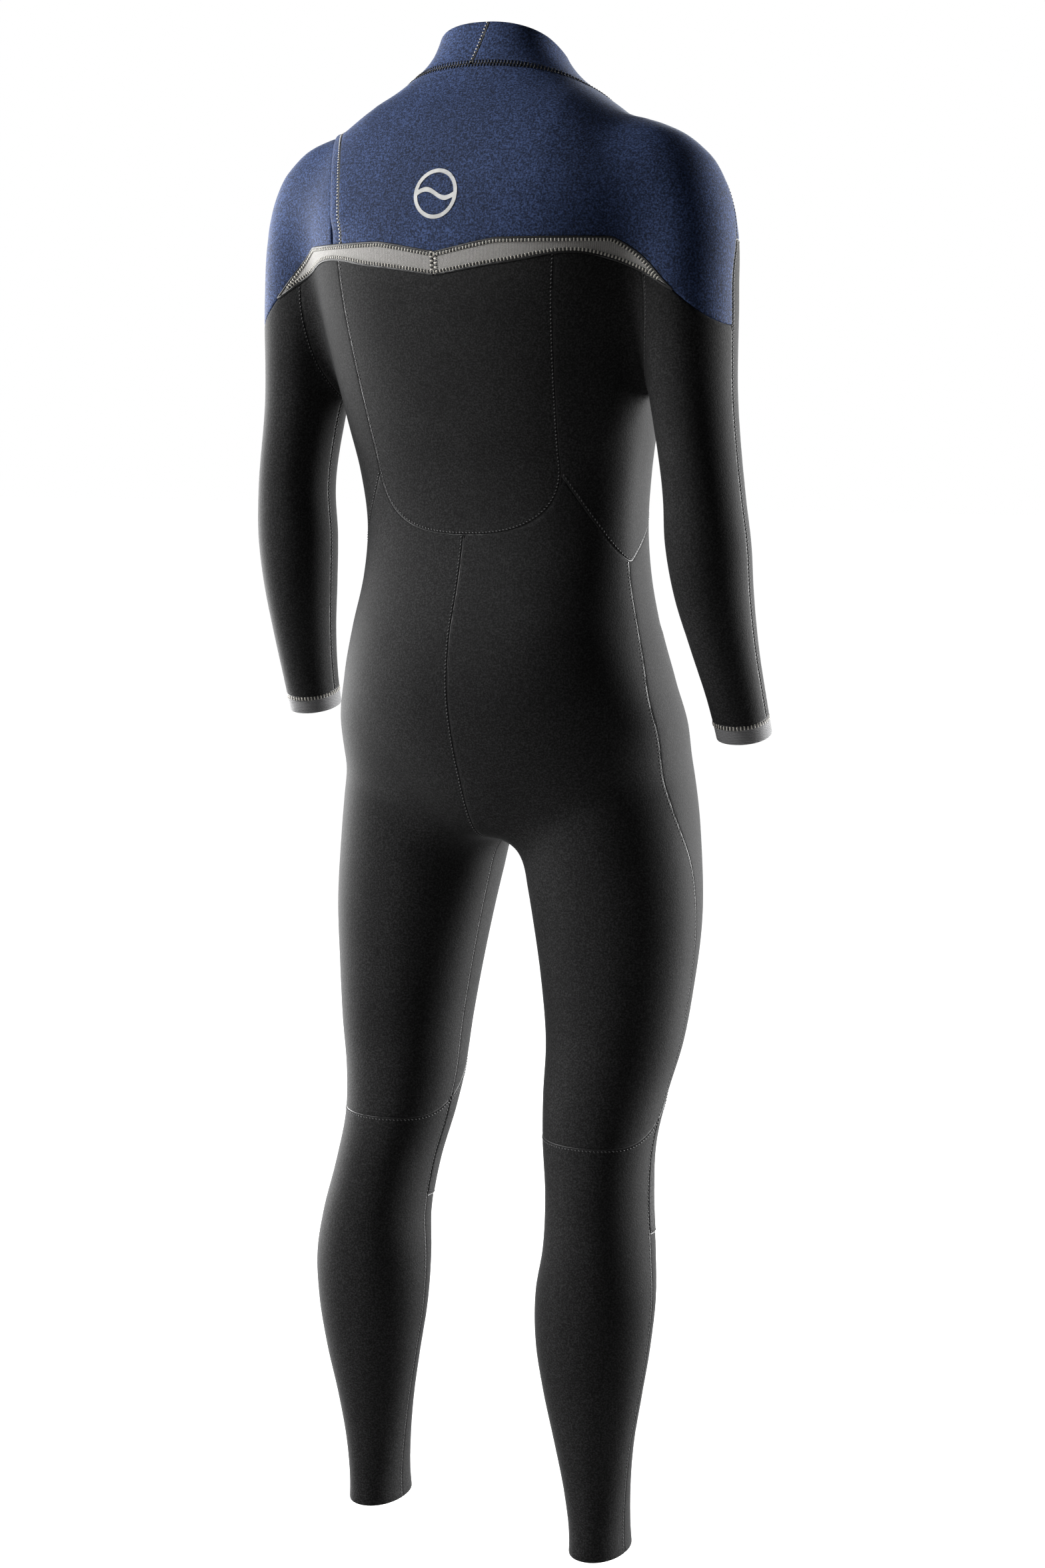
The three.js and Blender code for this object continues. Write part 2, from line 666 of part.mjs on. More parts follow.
const channel = solid(new THREE.BoxGeometry(2 * sliderLength, channelDepth, 2 * railInner)
  .translate(0, channelDepth / 2 - capBottom, 0));
const bridge = new THREE.Shape([
  [-bridgeHalf, capTop - 0.4], [bridgeHalf, capTop - 0.4], [bridgeHalf - 1, bridgeTop],
  [-bridgeHalf + 1, bridgeTop],
].map(([u, w]) => new THREE.Vector2(u, w)));
const bridgeSolid = solid(new THREE.ExtrudeGeometry(bridge, { depth: bridgeThickness,
  bevelEnabled: false }).rotateX(Math.PI).translate(0, 0, bridgeThickness / 2));
const bridgeWindow = solid(new THREE.BoxGeometry(2 * windowHalf, windowTop - capTop, 20)
  .translate(0, -(windowTop + capTop) / 2, 0));
const slider = toGeometry(capSolid.subtract(channel).add(bridgeSolid.subtract(bridgeWindow)));
add("zip_slider", onZip(slider, restPlace), blackPlastic);

// The pull is a plate with two arms and a bar, and the bar hangs in the bridge's window.
const barRadius = 0.7;
const barHeight = capTop + clearance + barRadius;
const armInner = bridgeThickness / 2 + 0.6;
const armOuter = pullWidth / 2;
const armStart = 7.5;
const pullBar = new THREE.CylinderGeometry(barRadius, barRadius, 2 * armOuter, 10)
  .rotateX(Math.PI / 2).translate(0, -barHeight, 0);
const pullPlate = new THREE.Shape();
pullPlate.moveTo(0, -armOuter);
pullPlate.lineTo(pullLength - armOuter, -armOuter);
pullPlate.absarc(pullLength - armOuter, 0, armOuter, -Math.PI / 2, Math.PI / 2);
pullPlate.lineTo(0, armOuter);
const plateThickness = 2 * barRadius;
const plate = solid(new THREE.ExtrudeGeometry(pullPlate, { depth: plateThickness,
  bevelEnabled: false, curveSegments: 8 }).rotateX(Math.PI / 2)
  .translate(0, -barHeight + plateThickness / 2, 0));
const relief = solid(new THREE.BoxGeometry(2 * armStart, 20, 2 * armInner)
  .translate(0, -barHeight, 0));
const cordHole = 2.2;
const grip = solid(new THREE.CylinderGeometry(cordHole, cordHole, 20, 12)
  .translate(pullLength - armOuter - 1, -barHeight, 0));
add("zip_pull", onZip(toGeometry(plate.subtract(relief).add(solid(pullBar)).subtract(grip)),
  restPlace), blackPlastic);

// ---- panels -----------------------------------------------------------------------------
const finishOf = (name) => {
  if (/cuff/.test(name)) return greyCuff;
  if (/band/.test(name)) return greyTape;
  if (/collar|yoke|shoulder|flap/.test(name)) return blueJersey;
  if (/knee/.test(name)) return smoothRubber;
  return blackJersey;
};
const thicknessOf = (name) => {
  if (/collar/.test(name)) return collarThickness;
  if (/cuff/.test(name)) return cuffThickness;
  if (/knee/.test(name)) return kneeThickness;
  return wallThickness;
};
for (const [name, facets] of Object.entries(panels)) {
  let geometry = wall(facets, 0, thicknessOf(name));
  if (name === "entry_flap" || name === "front_body") {
    geometry = toGeometry(solid(geometry).subtract(slot));
  }
  add(name, geometry, finishOf(name));
}

// The barrier is a loose bib behind the zip, sewn along its top edge inside the flap.
const barrierHalf = 122;
const barrierRise = 70;
const barrierDrop = 55;
let barrier = keep(skin, (x, y) => 20 - y, 1);
barrier = keep(barrier, (x) => barrierHalf - Math.abs(x), 1);
barrier = keep(barrier, (x, y, z) => zipHeight + barrierRise - z, 1);
barrier = keep(barrier, (x, y, z) => z - zipHeight + barrierDrop, 1);
const barrierDepth = wallThickness + 2 * clearance;
add("zip_barrier", wall(barrier, barrierDepth, barrierDepth + barrierThickness),
  smoothRubber);

// The badge is a plain ring crossed by one wave, printed thick on the yoke.
const badgeHeight = 1387;
const badgeRadius = badgeWidth / 2;
const badgeLine = 3.6;
const waveHeight = 4.2;
const waveSteps = 12;
const ring = new THREE.Shape();
ring.absarc(0, 0, badgeRadius, 0, 2 * Math.PI, false);
const ringHole = new THREE.Path();
ringHole.absarc(0, 0, badgeRadius - badgeLine, 0, 2 * Math.PI, true);
ring.holes.push(ringHole);
const waveEdge = (lift) => Array.from({ length: waveSteps + 1 }, (_, i) => {
  const across = (i / waveSteps - 0.5) * (badgeWidth - badgeLine);
  const rise = waveHeight * Math.sin(across * 2 * Math.PI / badgeWidth);
  return new THREE.Vector2(across, rise + lift);
});
const wave = new THREE.Shape([...waveEdge(-badgeLine / 2), ...waveEdge(badgeLine / 2).reverse()]);
const drawn = [ring, wave].map((shape) => solid(new THREE.ExtrudeGeometry(shape, {
  depth: 200, bevelEnabled: false, curveSegments: 14,
}).rotateX(Math.PI / 2).translate(0, 300, badgeHeight * tall)));
let badgeGround = keep(skin, (x, y) => y - 100, 1);
badgeGround = keep(badgeGround, (x) => badgeWidth - Math.abs(x), 1);
badgeGround = keep(badgeGround, (x, y, z) => badgeWidth - Math.abs(z - badgeHeight), 1);
const badgeLayer = solid(wall(badgeGround, -clearance - badgeThickness, -clearance));
add("back_badge", toGeometry(drawn[0].add(drawn[1]).intersect(badgeLayer)), paleInk);

export default group;
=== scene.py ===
# %% [markdown]
# # A full-length wetsuit, panel by panel
# A wetsuit is sewn from sheets of foam rubber with knitted jersey on both faces. The sheets are
# cut into panels, glued edge to edge and stitched over the joint, so what the eye reads is the
# body's form, the fine grain of the jersey, and the lines of the seams. This lesson makes one
# smooth skin, cuts it along the seams, and then sews it with real thread.

# %% Load the frame
import json
import math

import bpy
import numpy as np
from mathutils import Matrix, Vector
from mathutils.kdtree import KDTree


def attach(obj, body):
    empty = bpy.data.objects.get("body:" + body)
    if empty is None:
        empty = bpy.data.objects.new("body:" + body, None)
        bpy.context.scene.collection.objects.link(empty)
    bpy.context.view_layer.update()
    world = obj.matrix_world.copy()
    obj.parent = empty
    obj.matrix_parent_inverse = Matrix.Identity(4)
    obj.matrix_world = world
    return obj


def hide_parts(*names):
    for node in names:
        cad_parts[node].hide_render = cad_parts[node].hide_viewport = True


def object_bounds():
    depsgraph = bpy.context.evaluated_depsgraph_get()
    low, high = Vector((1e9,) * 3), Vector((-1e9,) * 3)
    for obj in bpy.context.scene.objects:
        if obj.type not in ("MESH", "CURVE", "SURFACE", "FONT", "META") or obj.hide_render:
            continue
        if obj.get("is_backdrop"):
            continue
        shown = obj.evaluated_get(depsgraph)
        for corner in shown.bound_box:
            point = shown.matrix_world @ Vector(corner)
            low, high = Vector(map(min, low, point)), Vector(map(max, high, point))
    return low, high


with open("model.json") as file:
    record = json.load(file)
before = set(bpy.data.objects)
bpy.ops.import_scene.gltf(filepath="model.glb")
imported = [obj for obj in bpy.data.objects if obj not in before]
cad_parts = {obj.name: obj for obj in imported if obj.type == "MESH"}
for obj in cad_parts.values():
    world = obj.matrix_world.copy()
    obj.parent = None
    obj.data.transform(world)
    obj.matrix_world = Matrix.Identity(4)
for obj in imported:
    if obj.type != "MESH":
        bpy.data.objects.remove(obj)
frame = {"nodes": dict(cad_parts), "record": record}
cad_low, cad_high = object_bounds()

bpy.ops.object.select_all(action="DESELECT")
print("the suit's box is", [round(high - low, 3) for low, high in zip(cad_low, cad_high)])

# %% [markdown]
# ## The camera, the floor and the light
# The suit is seen from behind and a little above, over the wearer's right shoulder. The camera is
# placed by its angle and distance, so it turns with one number. A white backdrop is
# seen, but it gives little light, so that black cloth stays black. The form is drawn by large
# lamps at the sides: jersey is velvety, and it turns pale where light and eye both graze it.

# %% Camera, floor and lamps
FLOOR_Z = -1.5
VIEW_TURN = math.radians(29)
VIEW_RISE = math.radians(7.8)
VIEW_DISTANCE = 2.65
VIEW_TARGET = Vector((0, -0.038, -0.678))

camera_data = bpy.data.cameras.new("camera")
camera_data.lens = 61
camera = bpy.data.objects.new("camera", camera_data)
bpy.context.collection.objects.link(camera)
towards_camera = Vector((-math.sin(VIEW_TURN) * math.cos(VIEW_RISE),
                         math.cos(VIEW_TURN) * math.cos(VIEW_RISE), math.sin(VIEW_RISE)))
camera.location = VIEW_TARGET + VIEW_DISTANCE * towards_camera
camera.rotation_euler = (-towards_camera).to_track_quat("-Z", "Y").to_euler()
bpy.context.scene.camera = camera
bpy.context.scene.view_settings.view_transform = "Standard"


def remapped(tree, value, ends):
    """Carries a value from one range to another. The ends not given are zero and one."""
    node = tree.nodes.new("ShaderNodeMapRange")
    for end, number in ends.items():
        node.inputs[end].default_value = number
    tree.links.new(value, node.inputs["Value"])
    return node.outputs["Result"]


def seen_white(tree, strength_input, given):
    """Shows full white to the eye, and gives another brightness to the suit."""
    path = tree.nodes.new("ShaderNodeLightPath")
    strength = remapped(tree, path.outputs["Is Camera Ray"], {"To Min": given, "To Max": 1.0})
    tree.links.new(strength, strength_input)


bpy.ops.mesh.primitive_plane_add(size=60, location=(0, 0, FLOOR_Z))
floor = bpy.context.object
floor.name = "floor"
pale_floor = bpy.data.materials.new("pale_floor")
pale_floor.use_nodes = True
floor_shader = pale_floor.node_tree.nodes["Principled BSDF"]
floor_shader.inputs["Base Color"].default_value = (0.3, 0.3, 0.3, 1)
floor_shader.inputs["Roughness"].default_value = 0.9
floor_shader.inputs["Emission Color"].default_value = (1, 1, 1, 1)
seen_white(pale_floor.node_tree, floor_shader.inputs["Emission Strength"], 0.0)
floor.data.materials.append(pale_floor)
floor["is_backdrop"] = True

world = bpy.data.worlds.new("white_room")
bpy.context.scene.world = world
world.use_nodes = True
background = world.node_tree.nodes["Background"]
background.inputs["Color"].default_value = (1, 1, 1, 1)
seen_white(world.node_tree, background.inputs["Strength"], 0.07)


def lamp(name, place, power, size):
    """A square soft lamp that faces the middle of the suit."""
    data = bpy.data.lights.new(name, "AREA")
    data.energy = power
    data.size = size
    made = bpy.data.objects.new(name, data)
    bpy.context.collection.objects.link(made)
    made.location = place
    aim = Vector(place) - VIEW_TARGET
    made.rotation_euler = aim.to_track_quat("Z", "Y").to_euler()


lamp("key_lamp", (2.75, 1.6, 1.0), 255, 1.5)
lamp("left_edge_lamp", (2.9, -0.7, -0.7), 290, 1.8)
lamp("right_edge_lamp", (-1.75, -2.45, -0.5), 350, 1.9)
lamp("front_lamp", (0.9, -3.2, 0.9), 60, 2.0)

# %% [markdown]
# ## The wearer's form
# The suit holds the form of the body inside it. The trunk, arms and legs are each a stack of
# rounded slices: a height, a centre, a half width, and a depth to the front and to the back.
# A smooth curve runs through each column of numbers, and a formula tells how far any point is
# from the skin. The stations are the suit's own, in millimetres from the wearer's sole.

# %% Slices of the body
TRUNK = [
    (770, 50, 50, 42, 32), (800, 40, 112, 86, 64), (840, 30, 158, 110, 92),
    (880, 27, 175, 118, 110), (930, 32, 168, 116, 115), (980, 36, 157, 113, 106),
    (1030, 37, 147, 110, 89), (1080, 39, 144, 109, 76), (1130, 43, 149, 110, 76),
    (1180, 48, 158, 114, 87), (1240, 52, 170, 121, 101), (1300, 54, 182, 128, 112),
    (1350, 54, 192, 126, 114), (1390, 54, 197, 118, 110), (1420, 55, 190, 108, 99),
    (1445, 59, 168, 96, 84), (1470, 62, 134, 82, 66), (1490, 58, 98, 70, 54),
    (1515, 48, 69, 58, 48), (1545, 40, 57, 54, 44), (1600, 32, 53, 50, 42),
]
ARM = [
    (1462, 160, 60, 6, 6, 6), (1450, 165, 60, 30, 30, 30), (1430, 174, 58, 45, 45, 45),
    (1400, 184, 56, 52, 54, 54), (1350, 195, 55, 53, 56, 56), (1300, 202, 57, 48, 54, 54),
    (1200, 213, 59, 39, 45, 45), (1110, 225, 60, 37, 41, 41), (1070, 227, 56, 39, 41, 41),
    (1020, 230, 48, 36, 39, 39), (970, 235, 34, 31, 34, 34), (920, 240, 16, 27, 30, 30),
    (840, 244, -14, 25, 27, 27),
]
LEG = [
    (980, 74, 22, 64, 72, 70), (930, 84, 18, 72, 84, 80), (870, 91, 12, 83, 99, 92),
    (820, 95, 14, 88, 103, 86), (760, 105, 18, 84, 97, 79),
    (700, 113, 22, 79, 89, 74), (640, 117, 26, 72, 80, 69), (580, 118, 32, 65, 71, 65),
    (530, 114, 42, 59, 62, 61), (490, 114, 52, 54, 56, 59), (440, 121, 64, 51, 51, 60),
    (390, 127, 75, 54, 47, 61), (350, 127, 82, 59, 43, 59), (300, 126, 87, 57, 40, 53),
    (250, 126, 89, 49, 37, 44), (200, 126, 87, 39, 36, 37), (150, 127, 83, 31, 38, 34),
    (110, 128, 80, 27, 41, 36), (60, 128, 77, 29, 45, 43),
]
# How far each limb's end swings out and back: the wearer's left, then the right.
SWING = {"arm": ((10, -14), (8, 16)), "leg": ((-9, 8), (13, 20))}
# The height where each limb's swing starts, and the length over which it grows.
SWING_SPAN = {"arm": (1430, 550), "leg": (870, 780)}
THIGH_FULLER, THIGH_HEIGHT, THIGH_REACH = 2.5, 710, 115
TRUNK_ROUND, LIMB_ROUND = 2.3, 2.1
ARM_BLEND, LEG_BLEND, CROTCH_BLEND = 28, 24, 22
END_SLOPE, TRUNK_END, ARM_TOP, HAND_END, LEG_TOP = 0.8, 780, 1460, 820, 960


def curve(rows):
    """A smooth curve through rows of (position, value, value...)."""
    rows = np.array(sorted(rows), float)
    at, value = rows[:, 0], rows[:, 1:]
    gap = np.diff(at)[:, None]
    rate = np.diff(value, axis=0) / gap
    slope = np.vstack([rate[:1], rate])
    slope[1:-1] = (rate[:-1] * gap[1:] + rate[1:] * gap[:-1]) / (gap[:-1] + gap[1:])

    def through(position):
        p = np.clip(np.asarray(position, float), at[0], at[-1])
        i = np.clip(np.searchsorted(at, p) - 1, 0, len(at) - 2)
        h = gap[i]
        t = (p - at[i])[..., None] / h
        return ((2 * t**3 - 3 * t**2 + 1) * value[i] + (t**3 - 2 * t**2 + t) * h * slope[i]
                + (3 * t**2 - 2 * t**3) * value[i + 1] + (t**3 - t**2) * h * slope[i + 1])
    return through


def line(rows):
    """A smooth curve with one value at each position."""
    through = curve(rows)
    return lambda position: through(position)[..., 0]


trunk_at, arm_at, leg_at = curve(TRUNK), curve(ARM), curve(LEG)


def limb_at(kind, side, z):
    """Centre x, centre y, half width, front depth and back depth of a limb's slice."""
    arm = kind == "arm"
    row = arm_at(z) if arm else leg_at(z)
    (left_out, left_back), (right_out, right_back) = SWING[kind]
    top, length = SWING_SPAN[kind]
    u = np.clip((top - z) / length, 0, 1.05)
    fuller = 0 if arm else np.exp(-((z - THIGH_HEIGHT) / THIGH_REACH) ** 2) * THIGH_FULLER
    more = np.where(side > 0, 0, fuller)
    out = np.where(side > 0, left_out, right_out)
    back = np.where(side > 0, left_back, right_back)
    return (side * (row[..., 0] + u * out + more), row[..., 1] + u * back,
            row[..., 2] + more, row[..., 3] + more, row[..., 4])


def from_slice(x, y, row, roundness):
    """Level distance from a rounded slice, negative inside."""
    cx, cy, half, front, back = row
    dx, dy = x - cx, y - cy
    depth = np.where(dy < 0, front, back)
    rho = (np.abs(dx / half) ** roundness + np.abs(dy / depth) ** roundness) ** (1 / roundness)
    r = np.hypot(dx, dy)
    return np.where(r < 0.001, -half, r * (1 - 1 / np.maximum(rho, 1e-6)))


def blend(a, b, width):
    """The union of two forms, with a soft fillet between them."""
    h = np.maximum(width - np.abs(a - b), 0) / width
    return np.minimum(a, b) - h * h * width / 4


def body(x, y, z):
    """Distance from the skin: negative inside the suit, zero on its outside."""
    cy, half, front, back = np.moveaxis(trunk_at(z), -1, 0)
    d = from_slice(x, y, (0, cy, half, front, back), TRUNK_ROUND)
    d = np.maximum(d, (TRUNK_END - z) * END_SLOPE)
    for side in (1, -1):
        arm = from_slice(x, y, limb_at("arm", side, z), LIMB_ROUND)
        ends = np.maximum(z - ARM_TOP, HAND_END - z) * END_SLOPE
        d = blend(d, np.maximum(arm, ends), ARM_BLEND)
    left, right = (np.maximum(from_slice(x, y, limb_at("leg", side, z), LIMB_ROUND),
                              (z - LEG_TOP) * END_SLOPE) for side in (1, -1))
    return blend(d, blend(left, right, CROTCH_BLEND), LEG_BLEND)


# %% [markdown]
# ## One smooth skin
# A form given by a formula becomes a mesh by laying a grid through it. Each cell that the skin
# passes gets one point, and points of neighbouring cells join up as four-sided facets. The
# points are then evened out along the skin, so that light slides over it without a ripple, and
# the joins of the legs and the shoulders are smoothed as stretched cloth would smooth them.

# %% Lay the net
FINE_STEP = 5.2
NET_STEP = FINE_STEP
NET_LOW = np.array([-292.0, -112.0, 68.0])
NET_HIGH = np.array([292.0, 188.0, 1584.0])
# Zones that are smoothed: from, to, and how softly each ends.
HIPS, NECK_SIDES, NECK_ACROSS = (780, 900, 60), (1410, 1462, 25), (90, 300, 25)
ARMPIT, ARMPIT_ACROSS = (1180, 1340, 40), (150, 185, 12)
CROTCH, CROTCH_ACROSS = (768, 796, 34), (-1, 52, 30)
SHOULDER_ACROSS, SHOULDER_FROM, SHOULDER_SOFT = (150, 205, 45), 1370, 60
EVEN_ROUNDS, JOIN_ROUNDS, CROTCH_ROUNDS, SHOULDER_ROUNDS = 6, 90, 46, 10
# A step in and a slightly longer step out evens the cloth without shrinking it.
IN_AND_OUT = (0.5, -0.515)
# Worn foam pulls the shoulder's top this far under the slices' form.
SHOULDER_DROP = 6


def slope_of(form, points, step=0.5):
    """How fast a form grows along x, y and z at each point."""
    rise = np.empty_like(points)
    for axis in range(3):
        move = np.zeros(3)
        move[axis] = step
        rise[:, axis] = (form(*(points + move).T) - form(*(points - move).T)) / (2 * step)
    return rise


def settle(points, rounds):
    """Moves points straight on to the skin."""
    for _ in range(rounds):
        rise = slope_of(body, points)
        move = np.clip(body(*points.T) / np.maximum((rise**2).sum(1), 0.1), -6, 6)
        points = points - move[:, None] * rise
    return points


def facet_normals(points, facets):
    a, b, c = (points[facets[:, n]] for n in range(3))
    return np.cross(b - a, c - a)


def unit(vectors):
    """The same ways, with a length of one."""
    return vectors / np.maximum(np.linalg.norm(vectors, axis=1), 1e-9)[:, None]


def corner_normals(points, facets):
    """The average direction of the facets round each point."""
    total = np.zeros_like(points)
    normals = facet_normals(points, facets)
    for n in range(facets.shape[1]):
        np.add.at(total, facets[:, n], normals)
    return unit(total)


def lay_net():
    """Points and four-sided facets all over the skin."""
    axes = [np.arange(low, high, NET_STEP) for low, high in zip(NET_LOW, NET_HIGH)]
    value = body(axes[0][None, None, :], axes[1][None, :, None], axes[2][:, None, None])
    inside = value < 0
    size = np.array(inside.shape) - 1
    ends = [np.array([k, j, i]) for k in (0, 1) for j in (0, 1) for i in (0, 1)]
    full = sum(inside[k:k + size[0], j:j + size[1], i:i + size[2]].astype(int)
               for k, j, i in ends)
    cells = np.argwhere((full > 0) & (full < 8))
    number = np.full(size, -1)
    number[tuple(cells.T)] = np.arange(len(cells))
    total = np.zeros((len(cells), 3))
    count = np.zeros(len(cells))
    for start in ends:
        for way in np.eye(3, dtype=int):
            if (start * way).any():
                continue
            a, b = (value[tuple((cells + corner).T)] for corner in (start, start + way))
            crossed = (a < 0) != (b < 0)
            t = np.where(crossed, a / np.where(crossed, a - b, 1), 0)
            total += np.where(crossed[:, None], cells + start + t[:, None] * way, 0)
            count += crossed
    points = NET_LOW + NET_STEP * (total / count[:, None])[:, ::-1]
    quads = []
    for axis in range(3):
        way, u, v = np.roll(np.eye(3, dtype=int), -axis, axis=0)
        span = tuple(slice(0, -1) if n == axis else slice(None) for n in range(3))
        ahead = tuple(slice(1, None) if n == axis else slice(None) for n in range(3))
        at = np.argwhere(inside[span] != inside[ahead])
        room = ((at >= u + v) & (at < size)).all(1)
        at = at[room]
        quads.append(np.stack([number[tuple((at - move).T)] for move in (0 * u, u, u + v, v)], 1))
    quads = np.concatenate(quads)
    quads = quads[(quads >= 0).all(1)]
    points = settle(points, 4)
    facing = facet_normals(points, quads) * slope_of(body, points)[quads[:, 0]]
    quads = np.where((facing.sum(1) < 0)[:, None], quads[:, ::-1], quads)
    return points, quads


def neighbour_links(facets):
    ring = np.roll(facets, -1, axis=1)
    links = np.unique(np.sort(np.stack([facets.ravel(), ring.ravel()], 1), axis=1), axis=0)
    return np.concatenate([links, links[:, ::-1]])


def averaged(points, links):
    """The average place of each point's neighbours."""
    total = np.zeros_like(points)
    np.add.at(total, links[:, 0], points[links[:, 1]])
    uses = np.bincount(links[:, 0], minlength=len(points))
    return total / np.maximum(uses, 1)[:, None]


def relaxed(points, where, rounds, shares):
    """Moves points towards their neighbours' average by each share in turn."""
    for n in range(int(rounds * (FINE_STEP / NET_STEP) ** 2)):
        share = shares[n % len(shares)]
        points = points + (share * where)[:, None] * (averaged(points, links) - points)
    return points


def bump(value, low, high, soft):
    """One between low and high, and falling softly to zero outside."""
    return np.clip(np.minimum(value - low, high - value) / soft + 1, 0, 1)


skin_points, skin_quads = lay_net()
links = neighbour_links(skin_quads)
for _ in range(EVEN_ROUNDS):
    skin_points = settle(0.5 * (skin_points + averaged(skin_points, links)), 2)
x, y, z = skin_points.T
joins = np.maximum(bump(z, *HIPS), bump(z, *NECK_SIDES) * bump(np.abs(x), *NECK_ACROSS))
joins = np.maximum(joins, bump(z, *ARMPIT) * bump(np.abs(x), *ARMPIT_ACROSS))
skin_points = relaxed(skin_points, joins, JOIN_ROUNDS, IN_AND_OUT)
x, y, z = skin_points.T
crotch = bump(z, *CROTCH) * bump(np.abs(x), *CROTCH_ACROSS)
shoulders = bump(np.abs(x), *SHOULDER_ACROSS) * np.clip((z - SHOULDER_FROM) / SHOULDER_SOFT, 0, 1)
skin_points = relaxed(skin_points, crotch, CROTCH_ROUNDS, (0.5,))
skin_points[:, 2] -= SHOULDER_DROP * shoulders
lowered = bump(shoulders, 0.02, 2, 0.02)
skin_points = relaxed(skin_points, lowered, SHOULDER_ROUNDS, (0.4,))
print("the net has", len(skin_points), "points and", len(skin_quads), "facets")

# %% [markdown]
# ## The seams
# Each seam is a formula that is zero on its line. Most follow the body: the back panel is a long
# U, the pale band swings across the shoulder blades, and the leg seams run from hip to ankle.
# Written this way, the same line cuts the panel, rounds its edge and guides the thread.

# %% Seam formulas
ZIP_HEIGHT, ZIP_LENGTH, SLOT_HEIGHT, SLOT_END, SLOT_ROUND = 1345, 206, 18, 3, 4
WRIST_HEIGHT, WRIST_SLOPE, ANKLE_HEIGHT = 887, 0.25, 90
COLLAR_HEIGHT, CUFF_HEIGHT = 40, 19
NECK_HEIGHT, NECK_SLOPE, RIM_SLOPE = 1510, 0.42, 0.5
FLAP_AT, FOLD_WIDTH, BAND_END, BESIDE_THIGH = 162, 10, 222, 216
PANEL_HEIGHT, PANEL_HALF, PANEL_DROP, PANEL_ROUND = 1150, 100, 76, 2.6
KNEE_HEIGHT, SHIN_HEIGHT = 494, 392


def side_of(x):
    return np.where(x < 0, -1, 1)


def neck_seam(x, y, z):
    return (z - NECK_HEIGHT - NECK_SLOPE * (y - 98)) / math.hypot(1, NECK_SLOPE)


def rim(x, y, z):
    level = NECK_HEIGHT + COLLAR_HEIGHT
    return (z - level - RIM_SLOPE * (y - 82)) / math.hypot(1, RIM_SLOPE)


def collar_seam(x, y, z):
    return x + np.where(y > 40, 0.25 * (z - NECK_HEIGHT), 0)


shoulder_line = line([(1250, 62), (1318, 58), (1345, 47), (1380, 36), (1420, 25), (1480, 18)])
band_top = line([(0, 1334), (70, 1346), (145, 1352), (186, 1328), (216, 1298), (252, 1268),
                 (310, 1235)])
band_width = line([(0, 20), (70, 22), (140, 22), (184, 14), (216, 0), (260, -20)])
armhole_line = line([(850, 200), (1050, 192), (1150, 178), (1205, 172), (1240, 181),
                     (1285, 187), (1330, 185), (1400, 180)])
hip_line = line([(380, 0), (440, -2), (520, -10), (640, -14), (700, -12), (754, -5), (809, 20),
                 (850, 32), (900, 41), (980, 32), (1060, 30)])


def sleeve_seam(x, y, z):
    centre = limb_at("arm", side_of(x), z)[1]
    fade = np.clip((z - 1250) / 100, 0, 1)
    return y - (centre * (1 - fade) + shoulder_line(z) * fade)


def band_bottom(across):
    return band_top(across) - np.maximum(band_width(across), 0)


def yoke_seam(x, y, z):
    behind = np.minimum((z - band_top(np.abs(x))) * 0.9, sleeve_seam(x, y, z))
    return np.maximum(behind, z - ZIP_HEIGHT)


def band_seam(x, y, z):
    under = (z - band_bottom(np.abs(x))) * 0.9
    return np.minimum(np.minimum(under, sleeve_seam(x, y, z)), BAND_END - np.abs(x))


def flap_seam(x, y, z):
    edge = FLAP_AT - 0.55 * np.maximum(y - 60, 0) - 0.3 * np.maximum(60 - y, 0)
    return (x - edge) * 0.87


def fold_edge(x, y, z):
    return flap_seam(x, y, z) - FOLD_WIDTH


def armhole(x, y, z):
    return np.abs(x) - armhole_line(z)


def wrist_line(x, y, z):
    centre = limb_at("arm", side_of(x), WRIST_HEIGHT)[1]
    return (z - WRIST_HEIGHT + WRIST_SLOPE * (y - centre)) / math.hypot(1, WRIST_SLOPE)


def only_arms(x, y, z):
    return np.maximum(wrist_line(x, y, z), BESIDE_THIGH - np.abs(x))


def cuff_seam(x, y, z):
    return wrist_line(x, y, z) - CUFF_HEIGHT


def ankle_line(x, y, z):
    return z - ANKLE_HEIGHT + 0 * x


def back_panel(x, y, z):
    width = PANEL_HALF + 0.09 * np.maximum(z - PANEL_HEIGHT, 0)
    drop = np.maximum(PANEL_HEIGHT - z, 0) / PANEL_DROP
    rho = ((np.abs(x) / width) ** PANEL_ROUND + drop**PANEL_ROUND) ** (1 / PANEL_ROUND)
    return np.minimum((1 - rho) * 90, y - 45)


def waist_seam(x, y, z):
    behind = 1149 - 1.8 * (np.abs(x) - 89) - 3 * np.maximum(48 - y, 0)
    ahead = 1049 + 0.7 * np.minimum(48 - y, 90)
    return (z - np.maximum(behind, ahead)) / math.sqrt(2)


def front_seam(x, y, z):
    half = (ZIP_LENGTH / 2 + SLOT_END + 10.65) + 0.05 * (z - ZIP_HEIGHT)
    return np.maximum(np.abs(x) - half, y - 40)


def centre_seam(x, y, z):
    return x + 0 * z


def leg_seam(x, y, z):
    cx, cy = limb_at("leg", side_of(x), z)[:2]
    outer = np.clip((np.abs(x) - np.abs(cx) + 30) / 60, 0, 1)
    return y - cy - hip_line(z) * outer


def knee_seam(x, y, z):
    behind = np.minimum(y - limb_at("leg", side_of(x), z)[1], 42)
    return z - KNEE_HEIGHT - 0.0069 * (42 - behind) ** 2


def shin_seam(x, y, z):
    across = np.abs(x) - np.abs(limb_at("leg", side_of(x), z)[0])
    return z - SHIN_HEIGHT - 0.006 * across**2


